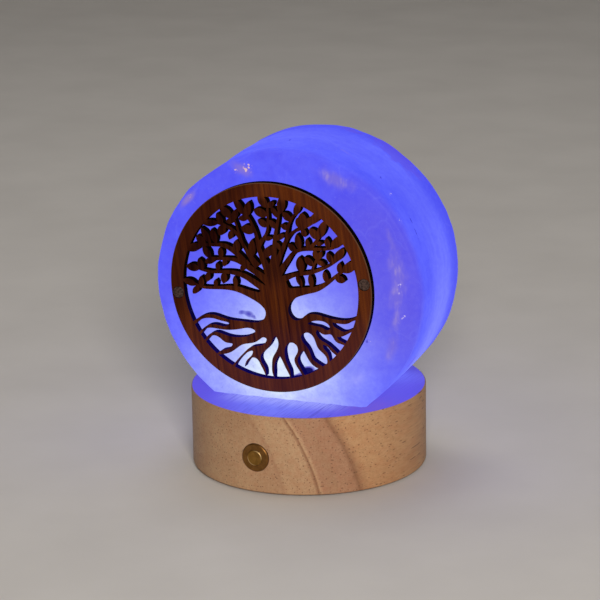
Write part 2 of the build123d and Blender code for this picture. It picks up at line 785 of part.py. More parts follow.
salt_block.part.label = "salt_block"
export_step(salt_block.part, "parts/salt_block.step")

# === salt_magnets: two disc magnets glued flush in the block's face =======================================
with BuildPart() as salt_magnets:
    with BuildSketch(panel_back):
        with Locations(*magnet_spots):
            Circle(magnet_radius)
    extrude(amount=-magnet_length)

salt_magnets.part.label = "salt_magnets"
export_step(salt_magnets.part, "parts/salt_magnets.step")


def limb(*stations):
    """A branch's outline: x, y and width at each station, with a smooth edge on either side."""
    sides = ([], [])
    for index, (x, y, width) in enumerate(stations):
        before = stations[max(index - 1, 0)]
        after = stations[min(index + 1, len(stations) - 1)]
        across = Vector(before[1] - after[1], after[0] - before[0]).normalized() * (width / 2)
        sides[0].append(Vector(x, y) + across)
        sides[1].append(Vector(x, y) - across)
    with BuildSketch() as outline:
        with BuildLine():
            Spline(*sides[0])
            Line(sides[0][-1], sides[1][-1])
            Spline(*sides[1])
            Line(sides[1][0], sides[0][0])
        make_face()
    return outline.sketch


def leaf(stem_x, stem_y, tip_x, tip_y, width):
    """A pointed leaf from its stem to its tip, as two arcs."""
    stem, tip = Vector(stem_x, stem_y), Vector(tip_x, tip_y)
    middle = (stem + tip) * 0.5
    across = Vector(stem_y - tip_y, tip_x - stem_x).normalized() * (width / 2)
    with BuildSketch() as outline:
        with BuildLine():
            ThreePointArc(stem, middle + across, tip)
            ThreePointArc(tip, middle - across, stem)
        make_face()
    return outline.sketch


# The tree of life, drawn in millimetres from the panel's centre, +X right and +Y up, for a ring
# of this inner radius. It is scaled to the ring that the panel has.
drawn_ring = 38.8

# Branches: (x, y, width) along each one, from the trunk outwards.
branches = [
    # left side, lowest first
    [(-2, -5.5, 6), (-6, -3.3, 4.2), (-10, -1.5, 3), (-15, 0.5, 2.4), (-20, 1.2, 1.7), (-26, 1.4, 1.3),
     (-30.5, 2, 1.2), (-33, 3.2, 1)],
    [(1, -2.5, 5), (-4, 1.1, 3), (-7, 3.4, 2.6), (-10, 5.5, 2.3), (-15, 7.4, 1.9), (-20, 8, 1.4),
     (-25, 8.2, 1.3), (-29, 9.2, 1.1), (-31, 10, 1)],
    [(2, 1, 5), (-2, 4.6, 3.2), (-5, 7.1, 2.6), (-8.5, 9.8, 2.6), (-12, 12.2, 2.2), (-16, 13.3, 1.5),
     (-20, 13.6, 1.4), (-25, 14, 1.4)],
    [(-8, 10.2, 2.6), (-12, 14.9, 2.3), (-15, 17.6, 2.2), (-18, 19.2, 1.9), (-22, 19.6, 1.5),
     (-26, 19.8, 1.4), (-29, 19.5, 1.2)],
    [(-4, 9.5, 3), (-6.6, 13.8, 2.2), (-8.6, 17.8, 1.5), (-10, 21.3, 1.5), (-12.2, 24.8, 1.5),
     (-15.2, 27, 1.5), (-18.5, 28.6, 1.3), (-21, 29.2, 1.2)],
    [(-9.6, 20.5, 1.2), (-10.4, 25, 1), (-11.6, 30, 0.9)],
    # middle
    [(1, 6, 4.5), (-1, 12, 2.8), (-2.3, 17, 2), (-2.7, 22, 1.6), (-3.8, 27, 1.3), (-6.4, 32, 1.2)],
    [(-2.5, 17.3, 1.8), (-0.4, 20.6, 1.7), (1.6, 22.8, 1.3), (3, 26.5, 1.1), (3.6, 31, 1), (4, 35, 1)],
    [(2.5, 8, 4.2), (3.7, 13, 2.6), (4.7, 18, 2), (5.9, 23, 1.6), (7.3, 27, 1.3), (8.3, 30.5, 1.1),
     (9, 33.5, 1)],
    # right side, highest first
    [(3, 7, 3.6), (5.4, 11.8, 2.4), (7.8, 15.9, 1.9), (10, 19.8, 1.6), (11.3, 24, 1.4), (13.2, 28, 1.2),
     (16, 31.2, 1.2), (17.5, 34, 1.4)],
    [(9, 18, 1.8), (11.2, 21.2, 1.6), (14, 23.4, 1.4), (17.5, 24.6, 1.3), (21, 25.9, 1.3), (24, 27.8, 1.2)],
    [(3, 3.5, 4.5), (6.5, 8, 2.6), (9.7, 11.5, 2.1), (12.5, 14.4, 1.7), (16, 15.8, 1.6), (20, 15.9, 1.5),
     (25, 15.6, 1.3), (30.5, 15.9, 1.2)],
    [(18.5, 15.8, 1.6), (21.8, 17.6, 1.5), (24.3, 20.3, 1.2)],
    [(4, 2.8, 4), (9, 4.6, 2.2), (13, 5.6, 1.7), (18, 5.9, 1.7), (22, 6.7, 1.5), (26, 8, 1.3), (30.5, 10.2, 1.1)],
    [(19.6, 6.2, 1.3), (21, 9.2, 1), (22.8, 11.8, 0.9)],
    [(4, -4.6, 6), (8.5, -2.5, 4.6), (12, -2, 3.8), (16, -1.5, 3), (20, -1.1, 2.4), (24.5, 0.6, 1.8),
     (28, 2.9, 1.4), (31, 4.8, 1.2), (33.5, 6, 1.1)],
]

# Leaves: stem x, y, tip x, y and width.
leaves = [
    # left side, lowest first
    (-14.9, 1, -15.1, 6, 2.3), (-24.2, 1.5, -23.7, 5, 2), (-19.3, 8, -20.4, 2.9, 3), (-26.2, 8.4, -27.9, 4, 2.6),
    (-30.6, 1.7, -30.2, 6.7, 2.6), (-32.6, 2.8, -38.8, 5.6, 2.9), (-31.6, 2.6, -35, -0.8, 2.7),
    (-30.2, 9.7, -36.4, 11.3, 3.4), (-28.8, 9, -30.1, 14.3, 3), (-22, 8.3, -22, 12.2, 2.1),
    (-18, 13.8, -19.1, 10.2, 2.3), (-10, 10.8, -11.6, 7.9, 2.2), (-24.6, 13.8, -27.4, 19.4, 3.1),
    (-22.4, 13.8, -27.6, 12.3, 2.9), (-19.9, 13.6, -19.6, 18.6, 2.6), (-27.6, 19.7, -35.4, 18.2, 3.6),
    (-26, 19.5, -29.7, 24, 3.3), (-23.6, 20, -27.1, 27.4, 2.9), (-21.2, 20, -22.4, 26.5, 3),
    (-12.6, 15.4, -11.8, 21.4, 3.4), (-18.5, 28.7, -26.8, 29.2, 3), (-17.2, 27.8, -19.1, 33, 2.8),
    (-16.4, 28, -19.3, 23.5, 3.6), (-13, 25.6, -15, 21.5, 2.6), (-12, 30.2, -17.6, 35.8, 3.6),
    (-11.9, 29.6, -9.9, 34.2, 2.7), (-11.2, 29.6, -15.6, 29.1, 2.5), (-6, 13.5, -4.8, 21.3, 3.4),
    # middle
    (-6.4, 31, -10.8, 39, 3), (-5.8, 30.6, -4, 37.2, 3.2), (-5, 30.3, -9.7, 30.1, 2.6),
    (-3, 24.4, -9.2, 26.3, 4), (3.4, 30.6, -2.4, 33.7, 3.8), (3, 26, -1.2, 29.3, 3), (3.8, 34, 0.4, 39.6, 3.6),
    (3.8, 34.3, 7.1, 36.2, 2.4), (8, 29.4, 5.5, 34.5, 2.3), (6.6, 25, 3.9, 28.9, 2.6),
    (0.2, 21, 4.4, 21.3, 2), (-0.8, 13.2, 3.7, 17.8, 3.6), (4.9, 20.5, 10.1, 22.5, 2.4), (7.5, 15.6, 5.6, 19.6, 1.8),
    # right side, highest first
    (9, 31, 11.2, 39, 3.7), (13.4, 27.9, 10.2, 31.8, 3), (12, 24.6, 8.7, 26.7, 2.5), (15.2, 29.8, 18.6, 36.2, 2.9),
    (18.6, 24.9, 18.6, 31.2, 4), (19.4, 25.2, 23.2, 29.2, 3), (21.4, 26.3, 27, 31, 3.6), (17.3, 24.5, 16, 29, 2.6),
    (17.8, 24.8, 18.9, 21, 2.4), (15.6, 15.6, 15.2, 22.6, 3), (13.8, 14.9, 10.9, 18.6, 2.7),
    (24.3, 19.7, 21.2, 24.6, 3.4), (24.2, 19.6, 28.6, 27.7, 3.5), (29.6, 15.8, 35.4, 20.6, 4),
    (28.3, 15.4, 27.8, 20.4, 2.4), (22.6, 18, 26.4, 18, 1.9), (19.5, 16, 19.3, 20.4, 2.1),
    (15, 5.8, 14.9, 13, 3.8), (20.8, 8.6, 17.2, 12.8, 2.9), (22.3, 11.4, 22, 15.6, 2.4), (22.4, 11, 25.5, 14.8, 2.3),
    (22, 10.7, 26.1, 8.9, 2.3), (29, 9.3, 27.4, 14.2, 2.7), (29.8, 10, 35, 15.5, 3.4),
    (12.6, 5.8, 14.4, 0, 2.3), (18.7, -0.8, 18.6, 5.8, 2.4), (25.6, 1.2, 25, 6.6, 2.5), (29.3, 3.8, 33.6, 1.6, 3.1),
    (31.5, 5, 32.3, 9.8, 2.4), (32.8, 5.6, 39.6, 9.4, 4.2),
]

# The openings between the roots, each a smooth loop; the ring trims the ones that run under it.
root_gaps = [
    [(-37.5, -15), (-35, -13.3), (-32.5, -11.9), (-29.8, -11.5), (-26.5, -12), (-23.5, -13), (-20.6, -14.3),
     (-21.6, -15.1), (-25.5, -14.7), (-29, -14.3), (-31.5, -15.2), (-34, -17), (-37, -18)],
    [(-35.5, -19.5), (-33.3, -17.7), (-31.3, -16.1), (-29, -15.8), (-25, -16.5), (-20, -17), (-15, -16.6),
     (-10.5, -16.8), (-9.2, -17.8), (-11, -19.2), (-15.5, -20.2), (-20, -19.9), (-24, -18.6), (-27.2, -17.6),
     (-29.3, -18.1), (-32, -20.2), (-34.5, -22)],
    [(-33.2, -23), (-30.6, -20.2), (-28, -19.1), (-25.3, -20.6), (-22.6, -22.5), (-20.3, -23.1), (-21.8, -24.7),
     (-25.5, -25.6), (-29.5, -27.2)],
    [(-28, -27.4), (-24.5, -27.3), (-21.3, -26.5), (-18.5, -24.9), (-15.8, -23.5), (-12, -23), (-8.5, -22),
     (-5.6, -20.7), (-4.7, -21.2), (-5.4, -23), (-8, -24.1), (-12, -24.6), (-15.5, -26.9), (-19, -29.9),
     (-22.5, -32.5), (-25.5, -31)],
    [(-21, -33.5), (-19.4, -31.2), (-16.6, -28.6), (-14, -26.9), (-11.6, -26.5), (-11.9, -27.6), (-14.3, -29.8),
     (-16, -32.6), (-17.6, -35.5)],
    [(-18.2, -36.5), (-16.2, -33.2), (-14.2, -30.6), (-11.8, -29.2), (-10.1, -29.9), (-8.8, -32.5), (-7.7, -35.4),
     (-7.3, -39), (-13, -39.5)],
    [(-0.3, -20.5), (0.4, -22), (0.2, -24.7), (-1.4, -27.4), (-3, -29.7), (-3.7, -32.5), (-4, -36), (-4.1, -40),
     (-7, -40), (-6.9, -36), (-7.4, -33), (-8.4, -30.6), (-8.1, -28.4), (-6, -26.4), (-3.8, -24.6), (-1.6, -21.5)],
    [(0.3, -28.9), (1.2, -31), (2.2, -34), (3.2, -36.5), (3.6, -40), (-3.2, -40), (-3.1, -36), (-2.7, -33),
     (-1.6, -30.8), (-0.3, -29.2)],
    [(6.4, -23.3), (8.2, -24.3), (8.8, -26.3), (7.9, -28.4), (6.8, -30), (6.7, -32), (7.8, -34.6), (9, -37),
     (9.6, -40), (4.6, -40), (4.2, -36), (3.2, -32.5), (2.7, -29), (3, -26), (4.4, -24)],
    [(11.3, -27), (12.3, -29.3), (13.6, -32), (15.4, -33.9), (17.2, -35.3), (14, -37.5), (10.8, -38), (9.4, -35),
     (8.2, -32.4), (8.2, -30.3), (9.6, -28.3), (10.6, -27.2)],
    [(12.8, -19.4), (14.8, -19.5), (16.3, -21), (17.1, -23.5), (18, -26.3), (19.9, -28.4), (21, -30.2),
     (21, -32.4), (19.8, -33.8), (17.2, -32.7), (14.9, -30.6), (14.1, -28), (13, -25.3), (11.3, -22.8),
     (11.1, -20.6)],
    [(18.9, -18.4), (20.2, -19.8), (22, -20.4), (24.3, -20.4), (25.6, -22.7), (27.2, -24.2), (30, -25.6),
     (30.5, -27), (27.5, -29.5), (26, -28.2), (24.2, -26.2), (21.8, -24), (19.3, -22.3), (18, -20.2), (18, -18.9)],
    [(15, -15.2), (17, -14.5), (20, -14.4), (22.3, -15), (24.2, -17.2), (24, -18.2), (20.5, -17.2), (16.5, -16.1)],
    [(25.9, -15.3), (29, -16), (32.5, -16), (36.5, -14.8), (38.5, -16), (36, -18), (33.2, -18.6), (31.5, -19.2),
     (29.3, -19.1), (27.3, -17.8), (25.8, -16.2)],
    [(27, -21.5), (29.5, -21.3), (32, -20.3), (35, -19.4), (34, -22.5), (31, -25), (29.3, -23.8), (27.3, -22.4)],
    [(20.5, -24.6), (21.9, -25.4), (23.7, -27.7), (25.6, -30), (24.5, -32), (22.6, -32.2), (22.2, -30),
     (21.2, -27.4), (20.2, -25.2)],
]

# The top of the roots and the flare of the trunk, on either side.
left_flank = [(-41, -15.5), (-37, -13), (-33.2, -10.8), (-30, -9.9), (-27, -10.1), (-23.5, -11.4), (-19, -12.7),
              (-13, -13.6), (-7.5, -14.1), (-5, -13.2), (-3.6, -11.4), (-3.4, -9.2), (-4.7, -7.1), (-7, -4.9),
              (-10, -3)]
right_flank = [(13, -3.7), (9.6, -5.2), (7.8, -7), (6.9, -9.2), (7.2, -11.6), (8.6, -13.4), (10.5, -13.9),
               (12.4, -13.2), (14, -12), (16, -11.4), (19, -11.6), (23, -12.9), (27, -14), (31, -14.5),
               (34.5, -14), (38, -12.3), (41, -10)]
crown_foot = [(-10, -3), (-5, -1.4), (-1.8, 0.8), (0.3, 6.6), (4, 7.8), (7, 4.6), (8.4, 0.4), (13, -3.7)]

limb_outlines = [limb(*stations) for stations in branches]
leaf_outlines = [leaf(*sizes) for sizes in leaves]

with BuildSketch() as panel_ring:
    Circle(panel_radius)
    Circle(ring_inner, mode=Mode.SUBTRACT)

# === tree_panel: thin walnut-coloured disc with the tree cut through it, flat on the block's face ==========
with BuildPart() as tree_panel:
    with BuildSketch(panel_back) as tree:
        with BuildLine():
            Spline(*left_flank)
            Polyline(*crown_foot)
            Spline(*right_flank)
            ThreePointArc(right_flank[-1], (0, -drawn_ring - 3), left_flank[0])
        make_face()
        for loop in root_gaps:
            with BuildLine():
                Spline(*loop, periodic=True)
            make_face(mode=Mode.SUBTRACT)
        add(limb_outlines)
        add(leaf_outlines)
        scale(by=ring_inner / drawn_ring)
        Circle(ring_inner, mode=Mode.INTERSECT)
        add(panel_ring.sketch)
        with Locations(*magnet_spots):
            Circle(magnet_radius + magnet_gap, mode=Mode.SUBTRACT)
    extrude(amount=panel_thickness)
    chamfer(
        tree_panel.edges().filter_by(GeomType.CIRCLE).filter_by(
            lambda edge: abs(edge.radius - panel_radius) < panel_edge / 10).sort_by(Axis(panel_back.origin, face_out))[-1],
        panel_edge)

tree_panel.part.label = "tree_panel"
export_step(tree_panel.part, "parts/tree_panel.step")

# === panel_magnets: two disc magnets pressed through the panel's ring ======================================
with BuildPart() as panel_magnets:
    with BuildSketch(panel_back):
        with Locations(*magnet_spots):
            Circle(magnet_radius)
    extrude(amount=panel_thickness)
    chamfer(panel_magnets.edges().group_by(Axis(panel_back.origin, face_out))[-1], magnet_edge)

panel_magnets.part.label = "panel_magnets"
export_step(panel_magnets.part, "parts/panel_magnets.step")
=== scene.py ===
import math

import bmesh
import bpy
import numpy as np
from mathutils import Matrix, Vector, noise


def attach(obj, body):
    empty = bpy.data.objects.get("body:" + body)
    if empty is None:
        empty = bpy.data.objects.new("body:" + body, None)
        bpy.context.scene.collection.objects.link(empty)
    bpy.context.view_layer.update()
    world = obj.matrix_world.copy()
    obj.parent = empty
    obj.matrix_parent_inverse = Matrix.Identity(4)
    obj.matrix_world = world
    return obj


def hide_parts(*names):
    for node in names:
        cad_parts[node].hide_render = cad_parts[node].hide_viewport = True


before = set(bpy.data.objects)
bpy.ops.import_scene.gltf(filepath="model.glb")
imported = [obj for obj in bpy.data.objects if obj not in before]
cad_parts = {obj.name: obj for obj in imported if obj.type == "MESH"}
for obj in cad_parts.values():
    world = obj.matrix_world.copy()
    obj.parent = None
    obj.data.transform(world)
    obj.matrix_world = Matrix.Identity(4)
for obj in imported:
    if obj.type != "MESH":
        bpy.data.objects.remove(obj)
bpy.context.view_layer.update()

# ===== Camera, floor and light ================================================
# The camera stands where the photograph was taken from: 1.1 m away, about 20
# degrees above the table and to the right of the front. The floor is a pale
# studio sweep, under one soft light in front and a weaker one overhead.
MM = 0.001
scene = bpy.context.scene
scene.view_settings.view_transform = "Standard"
scene.view_settings.look = "None"

eye = Vector((465.3, -927.0, 366.3)) * MM
aim = Vector((-12.0, 16.9, 64.4)) * MM
camera_roll = math.radians(-0.98)
camera_data = bpy.data.cameras.new("camera")
camera_data.sensor_width = 36.0
camera_data.lens = 153.1
camera_data.clip_start = 0.05
camera_data.clip_end = 20.0
camera = bpy.data.objects.new("camera", camera_data)
scene.collection.objects.link(camera)
level = (aim - eye).to_track_quat("-Z", "Y").to_matrix().to_4x4()
camera.matrix_world = Matrix.Translation(eye) @ level @ Matrix.Rotation(camera_roll, 4, "Z")
scene.camera = camera


def rgb(red, green, blue):
    """A screen colour, 0 to 255, as the light it stands for."""
    return tuple((value / 255 / 12.92) if value < 11 else ((value / 255 + 0.055) / 1.055) ** 2.4
                 for value in (red, green, blue))


class Finish:
    """One material, with short ways to add the nodes that paint it. Sizes are in millimetres."""

    def __init__(self, name, roughness=0.5, metallic=0.0):
        self.material = bpy.data.materials.new(name)
        self.material.use_nodes = True
        self.nodes = self.material.node_tree.nodes
        self.links = self.material.node_tree.links
        self.surface = self.nodes["Principled BSDF"]
        self.set(Roughness=roughness, Metallic=metallic)
        self.place = self.nodes.new("ShaderNodeTexCoord").outputs["Object"]

    def put(self, socket, value):
        """Links a socket to another, or gives it a plain value."""
        if isinstance(value, bpy.types.NodeSocket):
            self.links.new(value, socket)
        elif isinstance(value, tuple) and socket.type == "RGBA":
            socket.default_value = (*value, 1.0)
        else:
            socket.default_value = value

    def set(self, **values):
        """Values of the shader's own sockets."""
        for name, value in values.items():
            self.put(self.surface.inputs[name.replace("_", " ")], value)

    def math(self, operation, first, second=0.0):
        node = self.nodes.new("ShaderNodeMath")
        node.operation = operation
        self.put(node.inputs[0], first)
        self.put(node.inputs[1], second)
        return node.outputs[0]

    def product(self, *factors):
        result = factors[0]
        for factor in factors[1:]:
            result = self.math("MULTIPLY", result, factor)
        return result

    def vector(self, operation, first, second=(0.0, 0.0, 0.0)):
        node = self.nodes.new("ShaderNodeVectorMath")
        node.operation = operation
        self.put(node.inputs[0], first)
        self.put(node.inputs[1], second)
        return node.outputs["Value" if operation in ("DOT_PRODUCT", "LENGTH") else "Vector"]

    def away(self, start, place=None):
        """The way from a start in millimetres to each point, in metres."""
        return self.vector("SUBTRACT", place or self.place, tuple(value * MM for value in start))

    def along(self, direction, start=(0.0, 0.0, 0.0)):
        """How far a point lies along a direction from a start."""
        return self.math("MULTIPLY", self.vector("DOT_PRODUCT", self.away(start), direction), 1 / MM)

    def facing(self, direction):
        """How much the surface faces a direction, from -1 to 1."""
        normal = self.nodes.new("ShaderNodeNewGeometry").outputs["Normal"]
        return self.vector("DOT_PRODUCT", normal, direction)

    def turned(self, stretch=(1, 1, 1), turn=(0, 0, 0), place=None):
        """Coordinates stretched and turned, for a pattern that runs one way."""
        node = self.nodes.new("ShaderNodeMapping")
        self.put(node.inputs["Vector"], place or self.place)
        node.inputs["Scale"].default_value = stretch
        node.inputs["Rotation"].default_value = turn
        return node.outputs[0]

    def warped(self, amount, size, stretch=(1, 1, 1)):
        """Coordinates shaken by noise, for lines that wander."""
        shake = self.nodes.new("ShaderNodeTexNoise")
        self.put(shake.inputs["Vector"], self.turned(stretch))
        shake.inputs["Scale"].default_value = 1 / (size * MM)
        middle = self.vector("SUBTRACT", shake.outputs["Color"], (0.5, 0.5, 0.5))
        return self.vector("ADD", self.place, self.vector("MULTIPLY", middle, (amount * MM,) * 3))

    def noise(self, size, detail=4.0, stretch=(1, 1, 1), place=None):
        node = self.nodes.new("ShaderNodeTexNoise")
        self.put(node.inputs["Vector"], self.turned(stretch, place=place))
        node.inputs["Scale"].default_value = 1 / (size * MM)
        node.inputs["Detail"].default_value = detail
        return node.outputs["Fac"]

    def cells(self, size, stretch=(1, 1, 1), place=None, feature="F1", output="Distance", rods=False):
        """Cells round scattered points, or round rods that run along Y."""
        node = self.nodes.new("ShaderNodeTexVoronoi")
        node.feature = feature
        node.voronoi_dimensions = "2D" if rods else "3D"
        turn = (math.pi / 2 if rods else 0, 0, 0)
        self.put(node.inputs["Vector"], self.turned(stretch, turn, place))
        node.inputs["Scale"].default_value = 1 / (size * MM)
        return node.outputs[output]

    def ramp(self, value, *stops):
        """A colour for each value: stops are (value, colour)."""
        node = self.nodes.new("ShaderNodeValToRGB")
        self.put(node.inputs["Fac"], value)
        while len(node.color_ramp.elements) < len(stops):
            node.color_ramp.elements.new(0.5)
        for element, (position, colour) in zip(node.color_ramp.elements, stops):
            element.position = position
            element.color = (*colour, 1.0)
        return node.outputs["Color"]

    def mottled(self, size, detail, first, second, start=0.3, end=0.7, stretch=(1, 1, 1)):
        """Two close tones that drift into each other in patches."""
        return self.ramp(self.noise(size, detail, stretch), (start, first), (end, second))

    def step(self, value, start, end, low=0.0, high=1.0):
        """A smooth change from low to high while the value goes from start to end."""
        node = self.nodes.new("ShaderNodeMapRange")
        node.interpolation_type = "SMOOTHSTEP"
        amounts = {"Value": value, "From Min": start, "From Max": end, "To Min": low, "To Max": high}
        for name, amount in amounts.items():
            self.put(node.inputs[name], amount)
        return node.outputs["Result"]

    def mix(self, factor, first, second, blend="MIX"):
        """The second colour laid over the first; MULTIPLY darkens by it and ADD brightens by it."""
        node = self.nodes.new("ShaderNodeMix")
        node.data_type = "RGBA"
        node.blend_type = blend
        self.put(node.inputs["Factor"], factor)
        first_socket, second_socket = [socket for socket in node.inputs if socket.type == "RGBA"]
        self.put(first_socket, first)
        self.put(second_socket, second)
        return [socket for socket in node.outputs if socket.type == "RGBA"][0]

    def bump(self, height, depth):
        """Relief: depth is the height in millimetres of a value of one."""
        node = self.nodes.new("ShaderNodeBump")
        self.put(node.inputs["Height"], height)
        node.inputs["Distance"].default_value = depth * MM
        self.set(Normal=node.outputs["Normal"])

    def on(self, *nodes):
        """Gives this material to CAD nodes."""
        for name in nodes:
            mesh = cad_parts[name].data
            mesh.materials.clear()
            mesh.materials.append(self.material)


floor_finish = Finish("studio_floor", roughness=0.8)
floor_finish.set(Base_Color=floor_finish.mottled(60, 6, rgb(205, 201, 196), rgb(212, 208, 203)))
floor_finish.bump(floor_finish.noise(1.5, 3), 0.04)

# the sweep in metres: flat behind the lamp, then a quarter round, then a wall
sweep_start, sweep_round, sweep_top, floor_half, sweep_steps = 1.2, 0.8, 2.2, 3.0, 12
profile = [(-floor_half, 0.0)]
for index in range(sweep_steps + 1):
    bend = math.pi / 2 * index / sweep_steps
    profile.append((sweep_start + sweep_round * math.sin(bend), sweep_round * (1 - math.cos(bend))))
profile.append((sweep_start + sweep_round, sweep_top))
backward = Vector((aim.x - eye.x, aim.y - eye.y, 0)).normalized()
sideward = Vector((-backward.y, backward.x, 0))
sweep = bmesh.new()
rails = [[sweep.verts.new(sideward * side + backward * run + Vector((0, 0, rise))) for run, rise in profile]
         for side in (floor_half, -floor_half)]
left_rail, right_rail = rails
for left, next_left, right, next_right in zip(left_rail, left_rail[1:], right_rail, right_rail[1:]):
    sweep.faces.new((left, right, next_right, next_left)).smooth = True
floor_mesh = bpy.data.meshes.new("studio_floor")
sweep.to_mesh(floor_mesh)
sweep.free()
floor_mesh.materials.append(floor_finish.material)
floor = bpy.data.objects.new("studio_floor", floor_mesh)
scene.collection.objects.link(floor)

world = bpy.data.worlds.new("studio")
world.use_nodes = True
room_light = world.node_tree.nodes["Background"].inputs
room_light["Color"].default_value = (1.0, 0.97, 0.94, 1.0)
room_light["Strength"].default_value = 0.08
scene.world = world
light_aim = Vector((0, 0, 0.06))


def soft_light(name, place, width, power, colour):
    """A square soft light that looks at the lamp. Its place and width are in metres."""
    data = bpy.data.lights.new(name, "AREA")
    data.size = width
    data.energy = power
    data.color = colour
    light = bpy.data.objects.new(name, data)
    scene.collection.objects.link(light)
    light.location = place
    light.rotation_euler = (light_aim - light.location).to_track_quat("-Z", "Y").to_euler()


soft_light("front_softbox", place=(0.76, -1.29, 0.72), width=0.45, power=20.7, colour=(1.0, 0.96, 0.91))
soft_light("top_softbox", place=(-0.3, 0.3, 1.4), width=0.8, power=5.0, colour=(1.0, 0.98, 0.96))

# ===== Base ===================================================================
# Turned from one block of pale hardwood, hollowed from below and oiled. Its
# fibres run from front to back, so the front shows end grain with growth rings
# and open pores, and the sides show the pores as dashes.
base_height = 34.3
upward = (0, 0, 1)
wood = Finish("base_wood", roughness=0.5)
wood.set(Specular_IOR_Level=0.3)

# the growth rings lie round a pith that lay outside the block, to its lower left
pith = (-56.7, 0.0, -12.9)
ring_span = 160
tan, pale, pink, warm = rgb(181, 144, 110), rgb(188, 152, 116), rgb(176, 133, 102), rgb(194, 150, 108)
line, faint = rgb(146, 105, 76), rgb(173, 134, 102)
ring_stops = (
    (0, tan), (50, pale), (69, tan), (71, faint), (71.6, pale), (82.5, pale), (83.8, line),
    (84.5, rgb(202, 165, 127)), (85.3, pink), (90, faint), (91, pink), (95.8, pink), (97.0, line),
    (97.8, rgb(172, 129, 94)), (100, warm), (120, warm), (123, rgb(186, 142, 101)), (126, warm),
    (150, warm),
)
from_pith = wood.away(pith, wood.warped(1.8, 30, (1, 0.35, 1)))
ring_reach = wood.vector("LENGTH", wood.vector("MULTIPLY", from_pith, (1 / MM, 0.0, 1 / MM)))
ring_part = wood.math("DIVIDE", ring_reach, ring_span)
wood_tone = wood.ramp(ring_part, *((reach / ring_span, tone) for reach, tone in ring_stops))
fibres = wood.noise(0.7, 3, (1, 0.05, 1))
fibre_shade = wood.step(fibres, 0.3, 0.7, 0.0, 0.6)
wood_tone = wood.mix(fibre_shade, wood_tone, rgb(230, 223, 216), "MULTIPLY")
cloud_shade = wood.step(wood.noise(16, 3, (1, 0.3, 1)), 0.35, 0.65, 0.0, 0.5)
wood_tone = wood.mix(cloud_shade, wood_tone, rgb(238, 231, 228), "MULTIPLY")

# pores are rods along the fibres, opened and closed by noise, in patches
pore_pitch, fine_pore_pitch = 1.5, 0.85
pore_place = wood.warped(0.8, 6, (1, 0.3, 1))
pore = wood.cells(pore_pitch, place=pore_place, rods=True)
pore_chance = wood.cells(pore_pitch, place=pore_place, output="Color", rods=True)
pore_breaks = wood.step(wood.noise(2.2, 2, (1, 0.22, 1)), 0.36, 0.5)
pore_patches = wood.step(wood.noise(11, 2, (1, 0.4, 1)), 0.38, 0.6, 0.7, 1.0)
pore_size = wood.product(wood.step(pore_chance, 0.32, 0.6, 0.06, 0.2), pore_patches, pore_breaks)
pore_mask = wood.step(wood.math("SUBTRACT", pore_size, pore), -0.02, 0.04)
fine_pores = wood.step(wood.cells(fine_pore_pitch, place=pore_place, rods=True), 0.24, 0.1)
fine_breaks = wood.step(wood.noise(1.6, 2, (1, 0.2, 1)), 0.48, 0.62)
blush = wood.step(wood.noise(2.4, 4, (1, 0.3, 1)), 0.4, 0.65, 0.0, 0.6)
wood_tone = wood.mix(blush, wood_tone, rgb(250, 236, 232), "MULTIPLY")
wood_tone = wood.mix(wood.product(fine_pores, fine_breaks, 0.45), wood_tone, rgb(122, 84, 60))
wood_tone = wood.mix(wood.product(pore_mask, 0.62), wood_tone, rgb(96, 62, 42))

# the top's own colour is darkened, so that the painted glow of the block's light alone colours it
top_mask = wood.product(
    wood.step(wood.along(upward), base_height - 0.16, base_height - 0.03),
    wood.step(wood.facing(upward), 0.6, 0.9),
)
wood.set(Base_Color=wood.mix(wood.product(top_mask, 0.94), wood_tone, rgb(14, 11, 36)))
wood.bump(wood.math("ADD", wood.product(pore_mask, -0.5), wood.product(fibres, 0.2)), 0.06)


def spot(finish, middle, reach, strength=1.0):
    """A round soft patch of light: its strength in the middle, fading over its reach."""
    gap = finish.vector("LENGTH", finish.vector("MULTIPLY", finish.away(middle), (1 / (reach * MM),) * 3))
    return finish.product(finish.math("EXPONENT", finish.product(gap, gap, -1.0)), strength)


# the block's light on the top, painted as a glow of the wood: brightest before its face, dusky beside it
# and behind
block_turn = math.radians(5.2)
block_right = (math.cos(block_turn), math.sin(block_turn), 0.0)
block_out = (math.sin(block_turn), -math.cos(block_turn), 0.0)
face_forward = 26.7
face_point = tuple(value * face_forward for value in block_out)
bright = wood.math("ADD", spot(wood, (3, -36, base_height), 18), spot(wood, (33, 22, base_height), 11, 0.5))
bright = wood.math("ADD", bright, spot(wood, (-33, 22, base_height), 11, 0.4))
painted_spill_tone = wood.mix(wood.math("MINIMUM", bright, 1.0), rgb(86, 74, 222), rgb(114, 125, 255))
painted_spill_tone = wood.mix(spot(wood, (39, -21, base_height), 12, 0.75), painted_spill_tone, rgb(109, 80, 198))
before_face = wood.step(wood.along(block_out, face_point), 13.0, 0.0)
beside_middle = wood.step(wood.math("ABSOLUTE", wood.along(block_right)), 32, 16)
painted_spill_tone = wood.mix(wood.product(before_face, beside_middle, 0.8), painted_spill_tone, rgb(158, 166, 255))
painted_spill_tone = wood.mix(wood.step(wood.along((0, 1, 0)), 24, 40, 0.0, 0.7), painted_spill_tone, rgb(66, 60, 182))
painted_spill_tone = wood.mix(wood.step(fibres, 0.4, 0.7, 0.0, 0.6), painted_spill_tone, rgb(80, 78, 214))
painted_spill_tone = wood.mix(wood.product(pore_mask, 0.45), painted_spill_tone, rgb(52, 48, 156))
wood.set(Emission_Color=painted_spill_tone, Emission_Strength=wood.product(top_mask, 0.97))
wood.on("base_housing")

